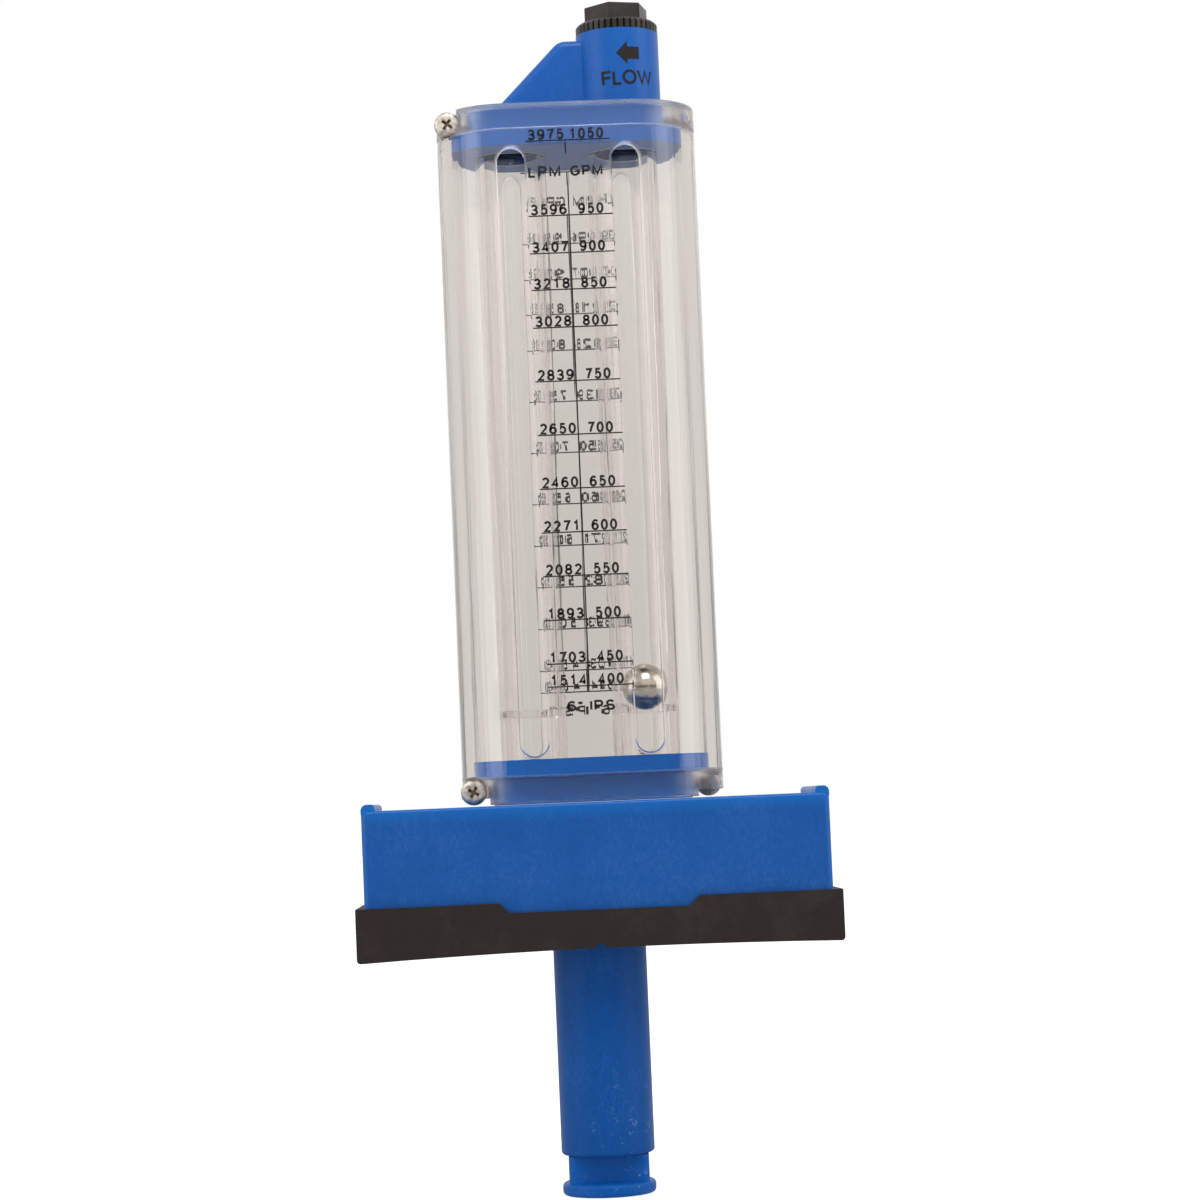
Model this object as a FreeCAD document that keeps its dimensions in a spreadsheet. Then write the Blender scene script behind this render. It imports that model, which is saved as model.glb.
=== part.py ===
import FreeCAD, Part
import math
import os
import Sketcher

# Pitot-type rotameter for a 6 inch IPS pipe.
# Frame: origin on the axis of the pitot tube, at the crown of the pipe that the gasket seats on.
# +Z points up, out of the pipe; X runs along the pipe; the front, with the scale, faces -Y.
# All lengths are in millimetres.

SIZES = [
    # the pipe and the gasket that seals on it
    ("pipe_outer_radius", 84.14, "6 inch IPS pipe"),
    ("gasket_web", 3.0, "rubber between the pipe and the saddle"),
    ("gasket_end_wall", 2.6, "lip round the saddle's ends"),
    ("gasket_side_wall", 1.8, "lip along the saddle's front and back"),
    ("gasket_lip_height", 7.8, "lip's top edge at mid-length, above the pipe's crown"),
    ("gasket_lip_step", 3.0, "rise of the lip towards both ends"),
    ("gasket_step_half_length", 27.0, "half of the low stretch of the lip"),
    ("gasket_bow_radius", 2000.0, "gentle bow of the rubber along the pipe"),
    ("gasket_bow_offset", 12.0, "crown of the bow, from the tube's axis"),
    ("gasket_land", 3.2, "width of the narrow land along each lower edge"),
    ("gasket_edge_round", 1.2, "rounding of the lower end edges"),
    ("gasket_fit", 0.05, "gasket to saddle"),
    ("gasket_hole_gap", 0.15, "gasket to the pitot tube's neck"),
    ("notch_radius", 1.3, "centre mark in the gasket's lower edges"),
    # the saddle
    ("saddle_length", 141.0, ""),
    ("saddle_depth", 52.0, ""),
    ("saddle_top_height", 40.0, "top face above the pipe's crown"),
    ("saddle_corner_radius", 2.0, ""),
    ("saddle_edge_round", 1.0, "top edges at the front and back"),
    ("saddle_wall", 4.5, "outer walls round the cored pockets"),
    ("saddle_roof", 5.0, "material above the cored pockets"),
    ("saddle_rib", 3.0, "rib between two pockets"),
    ("saddle_hub_half_length", 23.0, "solid middle that holds the tube and passages"),
    ("lip_width", 4.2, "raised lip at each end, which keeps a band clamp on"),
    ("lip_height", 2.0, ""),
    ("lip_outer_round", 1.8, ""),
    ("lip_inner_round", 1.2, ""),
    # the pitot tube and its tip
    ("pitot_outer_radius", 14.2875, "1 1/8 inch tube"),
    ("pitot_insertion", 67.3, "tube's lower end below the pipe's crown"),
    ("pitot_socket_depth", 25.0, "tube inside the saddle"),
    ("pitot_neck_radius", 13.6, "narrower stretch that the gasket and the saddle hold"),
    ("pitot_shoulder_drop", 1.7, "shoulder below the pipe's crown, which keeps the gasket on"),
    ("pitot_fit", 0.05, "tube to saddle"),
    ("pitot_end_round", 1.3, ""),
    ("pitot_passage_radius", 4.0, ""),
    ("pitot_passage_offset", 6.3, "each passage from the tube's axis"),
    ("tip_neck_height", 8.2, ""),
    ("tip_neck_width", 24.4, ""),
    ("tip_neck_depth", 16.4, ""),
    ("tip_neck_corner", 2.2, "keeps the neck inside the hole that the tube passes"),
    ("tip_disc_thickness", 3.9, ""),
    ("tip_disc_round", 1.3, ""),
    ("port_radius", 3.2, "impact and return ports, in the neck's sides"),
    # the blue plates and necks that the clear shells hold
    ("plate_width", 71.4, ""),
    ("plate_depth", 43.4, ""),
    ("plate_thickness", 5.1, ""),
    ("neck_width", 61.0, ""),
    ("neck_depth", 31.4, ""),
    ("neck_corner_radius", 11.5, ""),
    ("neck_clearance", 0.3, "neck to the shells' openings"),
    ("stack_gap", 0.1, "between faces that meet on the bench"),
    # the clear shells
    ("shell_corner_radius", 21.5, ""),
    ("shell_wall", 4.0, ""),
    ("shell_lift", 0.4, "shells above the saddle"),
    ("lower_flange", 7.9, ""),
    ("upper_flange", 7.1, ""),
    ("flange_step", 2.0, "lower flange is shallower at its ends"),
    ("flange_step_half_length", 31.5, ""),
    ("plate_side_gap", 0.3, "plate to the shells' walls"),
    ("window_half_width", 4.2, "viewing slots"),
    ("window_lower_margin", 0.8, "slot's lower end above the lower plate"),
    ("window_upper_margin", 1.1, "slot's upper end below the upper plate"),
    ("window_bevel", 0.4, "round the slots' outer edges"),
    ("rim_round", 0.5, ""),
    # the two clear tubes
    ("tube_pitch", 34.9, "between the tubes' axes"),
    ("tube_exposed_length", 187.5, "between the plates"),
    ("tube_lower_radius", 10.2, ""),
    ("tube_upper_radius", 11.1, ""),
    ("tube_lower_spigot_radius", 9.4, ""),
    ("tube_upper_spigot_radius", 10.4, ""),
    ("tube_spigot_length", 6.0, ""),
    ("tube_fit", 0.05, "spigot to socket"),
    ("seat_height", 15.3, "float's seat above the lower plate"),
    ("seat_bore_radius", 4.2, ""),
    ("seat_thickness", 2.0, "ledge that the float rests on"),
    ("foot_bore_radius", 7.0, "bore below the ledge"),
    ("bore_lower_radius", 7.5, "tapered bore at the seat"),
    ("bore_upper_radius", 8.6, "tapered bore at the top"),
    # the float
    ("ball_diameter", 14.2875, "9/16 inch steel ball"),
    ("ball_seat_gap", 0.1, ""),
    ("ball_travel", 166.4, "from the seat to the highest mark"),
    ("ball_stop_gap", 0.3, "ball to the plug's stem at the top"),
    # the top fitting
    ("tower_radius", 12.85, "round tower over the metering tube"),
    ("tower_height", 25.4, "above the shells"),
    ("tower_bore_radius", 9.6, ""),
    ("socket_floor", 0.6, "clear space past a spigot's end"),
    ("rib_foot", 24.1, "foot of the sloping rib, left of the tube's axis"),
    ("rib_height", 23.5, "above the shells"),
    ("rib_slope", 45.5, "degrees"),
    ("rib_thickness", 12.0, ""),
    ("rib_corner_round", 5.0, ""),
    ("rib_edge_round", 2.2, ""),
    ("crossover_radius", 3.6, "passage from the tower to the return tube"),
    ("crossover_height", 11.5, "its start above the shells"),
    # the plug
    ("plug_running_gap", 0.08, "plug's shank in the tower's bore"),
    ("plug_shank_length", 12.8, ""),
    ("plug_stem_radius", 2.2, ""),
    ("plug_foot_radius", 3.4, ""),
    ("plug_foot_thickness", 2.0, ""),
    ("plug_flange_radius", 12.75, ""),
    ("plug_flange_thickness", 3.4, ""),
    ("plug_flange_bevel", 0.9, ""),
    ("knurl_depth", 0.7, ""),
    ("knurl_width", 0.95, ""),
    ("hex_across_flats", 17.6, ""),
    ("hex_height", 5.4, ""),
    ("hex_turn", 14.9, "degrees, one face from the front"),
    ("hex_edge_round", 0.5, ""),
    # rubber rings
    ("ring_section", 1.6, ""),
    ("ring_clearance", 0.05, ""),
    ("ring_groove_width", 2.0, ""),
    ("ring_depth", 3.2, "tube ring's middle from the socket's mouth"),
    ("plug_ring_depth", 2.4, "plug ring's middle below the tower's top"),
    # number 8 pan head screws that hold the shells together
    ("screw_radius", 2.08, ""),
    ("screw_length", 25.4, ""),
    ("screw_point", 1.6, ""),
    ("screw_head_radius", 3.95, ""),
    ("screw_head_height", 2.9, ""),
    ("screw_head_round", 1.4, "pan head's rounded edge"),
    ("screw_point_radius", 0.6, ""),
    ("screw_inset", 3.5, "from the shell's end"),
    ("screw_seat", 12.0, "head's seat from the shells' joint"),
    ("screw_pocket_radius", 4.6, ""),
    ("screw_hole_gap", 0.22, "in the half under the head"),
    ("screw_thread_gap", 0.03, "in the half that takes the thread"),
    ("screw_end_gap", 0.6, "hole past the screw's point"),
    ("recess_length", 4.6, "cross recess in the head"),
    ("recess_width", 1.0, ""),
    ("recess_depth", 1.7, ""),
]
KNURL_TEETH = 40
HEXAGON = 6
FRONT = -90.0  # direction of the front, in degrees from +X
SCREW_TURNS = {"front_upper": 12, "front_lower": 28, "back_upper": 42, "back_lower": 58}  # degrees
CUT_MARGIN = 1.0  # how far a cutting shape runs past the face that it leaves by


class Size:
    """A length that carries the sheet formula it comes from, so that features can be bound to it."""

    def __init__(self, value, formula):
        self.value = value
        self.formula = formula

    @staticmethod
    def of(other):
        return other if isinstance(other, Size) else Size(float(other), repr(float(other)))

    def joined(self, sign, other, value):
        return Size(value, "(" + self.formula + " " + sign + " " + Size.of(other).formula + ")")

    def __add__(self, other):
        return self.joined("+", other, self.value + Size.of(other).value)

    def __sub__(self, other):
        return self.joined("-", other, self.value - Size.of(other).value)

    def __mul__(self, factor):
        return self.joined("*", factor, self.value * Size.of(factor).value)

    def __truediv__(self, divisor):
        return self.joined("/", divisor, self.value / Size.of(divisor).value)

    def __neg__(self):
        return self * -1


ZERO = Size.of(0)


class Sheet:
    """The document's spreadsheet: one named cell for each size."""

    def __init__(self, doc):
        self.sheet = doc.addObject("Spreadsheet::Sheet", "Dims")
        for row, (name, value, note) in enumerate(SIZES, start=1):
            self.sheet.set("A%d" % row, name)
            self.sheet.set("B%d" % row, str(value))
            self.sheet.set("C%d" % row, note)
            self.sheet.setAlias("B%d" % row, name)
        doc.recompute()

    def __getattr__(self, name):
        return Size(float(getattr(self.sheet, name)), "Dims." + name)


doc = FreeCAD.newDocument("rotameter")
dims = Sheet(doc)


# ---- Sketches and features -------------------------------------------------------------------

def new_body(label):
    body = doc.addObject("PartDesign::Body", label)
    body.Label = label
    return body


def new_sketch(body, plane, height=ZERO):
    """A sketch on one of the body's own planes, lifted along the plane's normal."""
    sketch = body.newObject("Sketcher::SketchObject", body.Label + "_sketch")
    origin_plane = next(f for f in body.Origin.OriginFeatures if f.Role == plane)
    sketch.AttachmentSupport = [(origin_plane, "")]
    sketch.MapMode = "FlatFace"
    sketch.setExpression("AttachmentOffset.Base.z", height.formula)
    return sketch


def bind_last(sketch, size):
    sketch.setExpression("Constraints[%d]" % (sketch.ConstraintCount - 1), size.formula)


def fix_point(sketch, geometry, point, x, y):
    """Ties one point of a sketch to the sheet, measured from the sketch's origin."""
    sketch.addConstraint(Sketcher.Constraint("DistanceX", -1, 1, geometry, point, x.value))
    bind_last(sketch, x)
    sketch.addConstraint(Sketcher.Constraint("DistanceY", -1, 1, geometry, point, y.value))
    bind_last(sketch, y)


def add_circle(sketch, x, y, radius):
    circle = Part.Circle(FreeCAD.Vector(x.value, y.value, 0), FreeCAD.Vector(0, 0, 1), radius.value)
    index = sketch.addGeometry(circle)
    fix_point(sketch, index, 3, x, y)
    sketch.addConstraint(Sketcher.Constraint("Radius", index, radius.value))
    bind_last(sketch, radius)


def add_polygon(sketch, corners):
    """A closed outline of straight lines; corners are pairs of sizes."""
    points = [FreeCAD.Vector(x.value, y.value, 0) for x, y in corners]
    first = sketch.GeometryCount
    count = len(points)
    for i in range(count):
        sketch.addGeometry(Part.LineSegment(points[i], points[(i + 1) % count]))
    for i in range(count):
        following = first + (i + 1) % count
        sketch.addConstraint(Sketcher.Constraint("Coincident", first + i, 2, following, 1))
    for i, (x, y) in enumerate(corners):
        fix_point(sketch, first + i, 1, x, y)


def add_rectangle(sketch, left, right, low, high):
    add_polygon(sketch, [(left, low), (right, low), (right, high), (left, high)])


def add_round_rectangle(sketch, half_width, front, back, radius, back_rounded):
    """A rectangle centred on the sketch's y axis, with round front corners and, if asked, back ones."""
    w, f, b, r = half_width.value, front.value, back.value, radius.value
    corners = [(-w, f, True), (w, f, True), (w, b, back_rounded), (-w, b, back_rounded)]
    along = [(1, 0), (0, 1), (-1, 0), (0, -1)]
    lines = []
    for i, (x, y, rounded) in enumerate(corners):
        end_x, end_y, end_rounded = corners[(i + 1) % 4]
        dx, dy = along[i]
        start = FreeCAD.Vector(x + dx * r * rounded, y + dy * r * rounded, 0)
        end = FreeCAD.Vector(end_x - dx * r * end_rounded, end_y - dy * r * end_rounded, 0)
        lines.append(sketch.addGeometry(Part.LineSegment(start, end)))
        sketch.addConstraint(Sketcher.Constraint("Horizontal" if dy == 0 else "Vertical", lines[i]))
    arcs = []
    for i, (x, y, rounded) in enumerate(corners):
        before = lines[(i - 1) % 4]
        if not rounded:
            sketch.addConstraint(Sketcher.Constraint("Coincident", before, 2, lines[i], 1))
            continue
        centre = FreeCAD.Vector(x - math.copysign(r, x), y + (r if i < 2 else -r), 0)
        start_angle = math.pi + i * math.pi / 2
        circle = Part.Circle(centre, FreeCAD.Vector(0, 0, 1), r)
        arc = sketch.addGeometry(Part.ArcOfCircle(circle, start_angle, start_angle + math.pi / 2))
        sketch.addConstraint(Sketcher.Constraint("Tangent", before, 2, arc, 1))
        sketch.addConstraint(Sketcher.Constraint("Tangent", arc, 2, lines[i], 1))
        if arcs:
            sketch.addConstraint(Sketcher.Constraint("Equal", arcs[0], arc))
        else:
            sketch.addConstraint(Sketcher.Constraint("Radius", arc, r))
            bind_last(sketch, radius)
        arcs.append(arc)
    sides = [("DistanceY", lines[0], front), ("DistanceX", lines[1], half_width),
             ("DistanceY", lines[2], back), ("DistanceX", lines[3], -half_width)]
    for kind, line, size in sides:
        sketch.addConstraint(Sketcher.Constraint(kind, -1, 1, line, 1, size.value))
        bind_last(sketch, size)


def add_upright_slot(sketch, x, low, high, radius):
    """A slot with round ends; low and high are its two ends."""
    up = FreeCAD.Vector(0, 0, 1)
    low_centre = low + radius
    high_centre = high - radius
    lower = Part.Circle(FreeCAD.Vector(x.value, low_centre.value, 0), up, radius.value)
    upper = Part.Circle(FreeCAD.Vector(x.value, high_centre.value, 0), up, radius.value)
    bottom = sketch.addGeometry(Part.ArcOfCircle(lower, math.pi, 2 * math.pi))
    top = sketch.addGeometry(Part.ArcOfCircle(upper, 0, math.pi))
    right_x = (x + radius).value
    left_x = (x - radius).value
    right = sketch.addGeometry(Part.LineSegment(
        FreeCAD.Vector(right_x, low_centre.value, 0), FreeCAD.Vector(right_x, high_centre.value, 0)))
    left = sketch.addGeometry(Part.LineSegment(
        FreeCAD.Vector(left_x, high_centre.value, 0), FreeCAD.Vector(left_x, low_centre.value, 0)))
    for one, other in ((bottom, right), (right, top), (top, left), (left, bottom)):
        sketch.addConstraint(Sketcher.Constraint("Tangent", one, 2, other, 1))
    sketch.addConstraint(Sketcher.Constraint("Equal", bottom, top))
    sketch.addConstraint(Sketcher.Constraint("Radius", bottom, radius.value))
    bind_last(sketch, radius)
    fix_point(sketch, bottom, 3, x, low_centre)
    fix_point(sketch, top, 3, x, high_centre)


def volume_of(body):
    doc.recompute()
    return body.Shape.Volume if body.Tip else 0.0


def add_feature(body, kind, sketch, **settings):
    """Adds a feature and makes sure that it really adds or cuts material."""
    before = volume_of(body)
    feature = body.newObject("PartDesign::" + kind, body.Label + "_" + kind.lower())
    if sketch:
        feature.Profile = sketch
    for name, value in settings.items():
        if isinstance(value, Size):
            feature.setExpression(name, value.formula)
        else:
            setattr(feature, name, value)
    after = volume_of(body)
    cuts = kind in ("Pocket", "Groove", "SubtractiveCylinder", "SubtractiveTorus")
    if (after - before) * (-1 if cuts else 1) <= 0 and kind not in ("Fillet", "Chamfer"):
        raise RuntimeError("%s changed nothing on %s" % (feature.Name, body.Label))
    return feature


def pad(body, sketch, length, down=False, both_sides=False):
    return add_feature(body, "Pad", sketch, Length=length, Reversed=down, Midplane=both_sides)


def cut(body, sketch, length, along_normal=False):
    """Cuts against the sketch's normal, or along it."""
    return add_feature(body, "Pocket", sketch, Length=length, Reversed=along_normal)


def cut_through(body, sketch):
    return add_feature(body, "Pocket", sketch, Type="ThroughAll", Midplane=True)


def turn(body, corners, kind="Revolution"):
    """Turns an outline of (radius, height) corners about the body's Z axis."""
    sketch = new_sketch(body, "XZ_Plane")
    add_polygon(sketch, corners)
    return add_feature(body, kind, sketch, ReferenceAxis=(sketch, ["V_Axis"]), Angle=360.0)


def bore_out(body, x, corners):
    """Cuts a turned hollow whose axis stands at x; corners are (radius, height)."""
    sketch = new_sketch(body, "XZ_Plane")
    add_polygon(sketch, [(x + radius, height) for radius, height in corners])
    heights = [height.value for _, height in corners]
    foot = FreeCAD.Vector(x.value, min(heights), 0)
    head = FreeCAD.Vector(x.value, max(heights), 0)
    index = sketch.addGeometry(Part.LineSegment(foot, head), True)
    sketch.addConstraint(Sketcher.Constraint("Vertical", index))
    fix_point(sketch, index, 1, x, corners[0][1])
    return add_feature(body, "Groove", sketch, ReferenceAxis=(sketch, ["Axis0"]), Angle=360.0)


def drill(body, start, end, radius):
    """A round passage between two points of the body's XZ plane, given as (x, z)."""
    origin = FreeCAD.Vector(start[0].value, 0, start[1].value)
    run = FreeCAD.Vector(end[0].value, 0, end[1].value) - origin
    place = FreeCAD.Placement(origin, FreeCAD.Rotation(FreeCAD.Vector(0, 0, 1), run))
    return add_feature(body, "SubtractiveCylinder", None, Radius=radius, Height=run.Length, Placement=place)


def edge_names(body, chosen):
    """Names of the edges of the body, as it is so far, that the test picks."""
    doc.recompute()
    names = ["Edge%d" % i for i, edge in enumerate(body.Shape.Edges, start=1) if chosen(edge)]
    if not names:
        raise RuntimeError("no such edge on " + body.Label)
    return names


def round_edges(body, radius, chosen):
    return add_feature(body, "Fillet", None, Base=(body.Tip, edge_names(body, chosen)), Radius=radius)


def bevel_edges(body, size, chosen):
    return add_feature(body, "Chamfer", None, Base=(body.Tip, edge_names(body, chosen)), Size=size)


def near(a, b):
    return abs(a - b) < 0.01


def flat_at(edge, height):
    """Whether an edge lies level at a height."""
    box = edge.BoundBox
    return near(box.ZMin, height) and near(box.ZMax, height)


# ---- Levels and places that several pieces share -----------------------------------------------

half_pitch = dims.tube_pitch / 2
saddle_top = dims.saddle_top_height
shell_bottom = saddle_top + dims.shell_lift
lower_flange_top = shell_bottom + dims.lower_flange
lower_plate_bottom = lower_flange_top + dims.stack_gap
lower_plate_top = lower_plate_bottom + dims.plate_thickness
upper_plate_bottom = lower_plate_top + dims.tube_exposed_length
upper_plate_top = upper_plate_bottom + dims.plate_thickness
upper_flange_bottom = upper_plate_top + dims.stack_gap
shell_top = upper_flange_bottom + dims.upper_flange
tower_top = shell_top + dims.tower_height
plate_corner_radius = dims.shell_corner_radius - dims.shell_wall - dims.plate_side_gap
seat_level = lower_plate_top + dims.seat_height
spigot_bottom = lower_plate_top - dims.tube_spigot_length
spigot_top = upper_plate_bottom + dims.tube_spigot_length
socket_bottom = spigot_bottom - dims.socket_floor
socket_top = spigot_top + dims.socket_floor
pitot_top = dims.gasket_web + dims.pitot_socket_depth
shell_half_width = dims.plate_width / 2 + dims.plate_side_gap + dims.shell_wall
shell_half_depth = dims.plate_depth / 2 + dims.plate_side_gap + dims.shell_wall
screw_offset = shell_half_width - dims.screw_inset
saddle_seat_radius = dims.pipe_outer_radius + dims.gasket_web
upper_screw_level = shell_top - dims.upper_flange / 2
lower_screw_level = lower_flange_top - dims.lower_flange / 2

ball_radius = dims.ball_diameter / 2
ball_reach = dims.ball_diameter.value / 2 + dims.ball_seat_gap.value
ball_rest = seat_level.value + math.sqrt(ball_reach ** 2 - dims.seat_bore_radius.value ** 2)
ball_highest_top = ball_rest + dims.ball_travel.value + dims.ball_diameter.value / 2


# ---- The clear body ------------------------------------------------------------------------------

def make_shell(label, turned):
    """One half of the clear body: a moulded half-box with thick ends that trap the blue plates."""
    body = new_body(label)
    joint = -(dims.stack_gap / 2)
    outline = new_sketch(body, "XY_Plane", shell_bottom)
    add_round_rectangle(outline, shell_half_width, -shell_half_depth, joint,
                        dims.shell_corner_radius, False)
    pad(body, outline, shell_top - shell_bottom)

    rims = [shell_top.value, shell_bottom.value]
    round_edges(body, dims.rim_round, lambda e: any(flat_at(e, z) for z in rims)
                and e.BoundBox.YMin < joint.value - 1)

    cavity = new_sketch(body, "XY_Plane", lower_flange_top)
    add_round_rectangle(cavity, shell_half_width - dims.shell_wall, dims.shell_wall - shell_half_depth,
                        ZERO, dims.shell_corner_radius - dims.shell_wall, False)
    cut(body, cavity, upper_flange_bottom - lower_flange_top, along_normal=True)

    for level, length in ((upper_flange_bottom, dims.upper_flange), (shell_bottom, dims.lower_flange)):
        opening = new_sketch(body, "XY_Plane", level)
        add_round_rectangle(opening, dims.neck_width / 2 + dims.neck_clearance,
                            -(dims.neck_depth / 2) - dims.neck_clearance, ZERO,
                            dims.neck_corner_radius + dims.neck_clearance, False)
        cut(body, opening, length, along_normal=True)

    ends = new_sketch(body, "XY_Plane", shell_bottom)
    for side in (-1, 1):
        inner = dims.flange_step_half_length * side
        outer = (shell_half_width + CUT_MARGIN) * side
        add_rectangle(ends, inner, outer, -shell_half_depth - CUT_MARGIN, ZERO)
    cut(body, ends, dims.flange_step, along_normal=True)

    cut_windows(body)
    add_screw_holes(body)
    if turned:
        body.Placement.Rotation = FreeCAD.Rotation(FreeCAD.Vector(0, 0, 1), 180)
    return body


def cut_windows(body):
    """A long viewing slot in front of each tube, bevelled round its outer edge."""
    low = lower_plate_top + dims.window_lower_margin
    high = upper_plate_bottom - dims.window_upper_margin
    windows = new_sketch(body, "XZ_Plane", shell_half_depth)
    for side in (-1, 1):
        add_upright_slot(windows, half_pitch * side, low, high, dims.window_half_width)
    cut(body, windows, dims.shell_wall + CUT_MARGIN)
    face = -shell_half_depth.value
    bevel_edges(body, dims.window_bevel, lambda e: near(e.BoundBox.YMin, face)
                and near(e.BoundBox.YMax, face)
                and e.BoundBox.ZMin > low.value - CUT_MARGIN
                and e.BoundBox.ZMax < high.value + CUT_MARGIN)


def add_screw_holes(body):
    """Head seats and clearance holes on the left, and holes that take the thread on the right."""
    levels = (lower_screw_level, upper_screw_level)
    seats = new_sketch(body, "XZ_Plane", dims.screw_seat)
    holes = new_sketch(body, "XZ_Plane", dims.screw_seat)
    threads = new_sketch(body, "XZ_Plane")
    for level in levels:
        add_circle(seats, -screw_offset, level, dims.screw_pocket_radius)
        add_circle(holes, -screw_offset, level, dims.screw_radius + dims.screw_hole_gap)
        add_circle(threads, screw_offset, level, dims.screw_radius + dims.screw_thread_gap)
    cut(body, seats, shell_half_depth, along_normal=True)
    cut(body, holes, dims.screw_seat)
    cut(body, threads, dims.screw_length - dims.screw_seat + dims.screw_end_gap, along_normal=True)


def make_screw(label, x, y, z, twist):
    """A pan head screw; its shank runs along the body's Z axis before it is placed."""
    body = new_body(label)
    crown = -dims.screw_head_height
    point_start = dims.screw_length - dims.screw_point
    turn(body, [
        (ZERO, crown), (dims.screw_head_radius, crown), (dims.screw_head_radius, ZERO),
        (dims.screw_radius, ZERO), (dims.screw_radius, point_start),
        (dims.screw_point_radius, dims.screw_length), (ZERO, dims.screw_length)])
    round_edges(body, dims.screw_head_round, lambda e: flat_at(e, crown.value))
    cross = new_sketch(body, "XY_Plane", crown)
    long_half = dims.recess_length / 2
    half = dims.recess_width / 2
    add_polygon(cross, [
        (long_half, -half), (long_half, half), (half, half), (half, long_half),
        (-half, long_half), (-half, half), (-long_half, half), (-long_half, -half),
        (-half, -half), (-half, -long_half), (half, -long_half), (half, -half)])
    cut(body, cross, dims.recess_depth, along_normal=True)
    inward = FreeCAD.Rotation(FreeCAD.Vector(0, 0, 1), FreeCAD.Vector(0, -y, 0))
    spin = FreeCAD.Rotation(FreeCAD.Vector(0, 0, 1), twist)
    body.Placement = FreeCAD.Placement(FreeCAD.Vector(x, y, z), inward * spin)
    return body


def make_screws():
    """Two screws enter from the front on the left, and two from the back on the right."""
    x = screw_offset.value
    y = dims.screw_seat.value
    pieces = []
    for end, level in (("upper", upper_screw_level.value), ("lower", lower_screw_level.value)):
        for face, side in (("front", -1), ("back", 1)):
            name = face + "_" + end
            pieces.append(make_screw(name + "_screw", x * side, y * side, level, SCREW_TURNS[name]))
    return pieces


# ---- The tubes, the float and the rings -----------------------------------------------------------

def make_tube(label, side):
    """A clear tube with a tapered bore and, near its foot, a ledge for the float's seat."""
    body = new_body(label)
    ledge_bottom = seat_level - dims.seat_thickness
    barrel_bottom = lower_plate_top + dims.stack_gap
    barrel_top = upper_plate_bottom - dims.stack_gap
    turn(body, [
        (dims.foot_bore_radius, spigot_bottom), (dims.tube_lower_spigot_radius, spigot_bottom),
        (dims.tube_lower_spigot_radius, barrel_bottom), (dims.tube_lower_radius, barrel_bottom),
        (dims.tube_upper_radius, barrel_top), (dims.tube_upper_spigot_radius, barrel_top),
        (dims.tube_upper_spigot_radius, spigot_top), (dims.bore_upper_radius, spigot_top),
        (dims.bore_lower_radius, seat_level), (dims.seat_bore_radius, seat_level),
        (dims.seat_bore_radius, ledge_bottom), (dims.foot_bore_radius, ledge_bottom)])
    body.Placement.Base = FreeCAD.Vector(half_pitch.value * side, 0, 0)
    return body


def make_ball():
    ball = doc.addObject("Part::Sphere", "float_ball")
    ball.Label = "float_ball"
    ball.setExpression("Radius", ball_radius.formula)
    ball.Placement.Base = FreeCAD.Vector(half_pitch.value, 0, ball_rest)
    return ball


def make_ring(label, x, z, middle_radius):
    """A rubber ring, lying level."""
    ring = doc.addObject("Part::Torus", label)
    ring.Label = label
    ring.setExpression("Radius1", middle_radius.formula)
    ring.setExpression("Radius2", (dims.ring_section / 2 - dims.ring_clearance).formula)
    ring.Placement.Base = FreeCAD.Vector(x.value, 0, z.value)
    return ring


def make_tube_rings():
    """Each tube has one ring at its foot and one at its head, in a groove of the blue socket."""
    lower = (lower_plate_top - dims.ring_depth, dims.tube_lower_spigot_radius + dims.ring_section / 2)
    upper = (upper_plate_bottom + dims.ring_depth, dims.tube_upper_spigot_radius + dims.ring_section / 2)
    pieces = []
    for end, (level, radius) in (("lower", lower), ("upper", upper)):
        for tube, side in (("metering", 1), ("return", -1)):
            pieces.append(make_ring("%s_tube_%s_ring" % (tube, end), half_pitch * side, level, radius))
    return pieces


def socket_corners(mouth, floor, spigot_radius, inward):
    """The outline of a tube's socket with its ring groove; inward is +1 up or -1 down."""
    radius = spigot_radius + dims.tube_fit
    groove_radius = spigot_radius + dims.ring_section
    groove_near = mouth + (dims.ring_depth - dims.ring_groove_width / 2) * inward
    groove_far = mouth + (dims.ring_depth + dims.ring_groove_width / 2) * inward
    return [(ZERO, mouth), (radius, mouth), (radius, groove_near), (groove_radius, groove_near),
            (groove_radius, groove_far), (radius, groove_far), (radius, floor), (ZERO, floor)]


# ---- The top fitting and its plug -----------------------------------------------------------------

def add_plate_and_neck(body, plate_bottom, neck_bottom, neck_top):
    """The oval plate that the shells trap, and the narrower neck that passes their flange."""
    plate = new_sketch(body, "XY_Plane", plate_bottom)
    add_round_rectangle(plate, dims.plate_width / 2, -(dims.plate_depth / 2), dims.plate_depth / 2,
                        plate_corner_radius, True)
    pad(body, plate, dims.plate_thickness)
    neck = new_sketch(body, "XY_Plane", neck_bottom)
    add_round_rectangle(neck, dims.neck_width / 2, -(dims.neck_depth / 2), dims.neck_depth / 2,
                        dims.neck_corner_radius, True)
    pad(body, neck, neck_top - neck_bottom)


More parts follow.
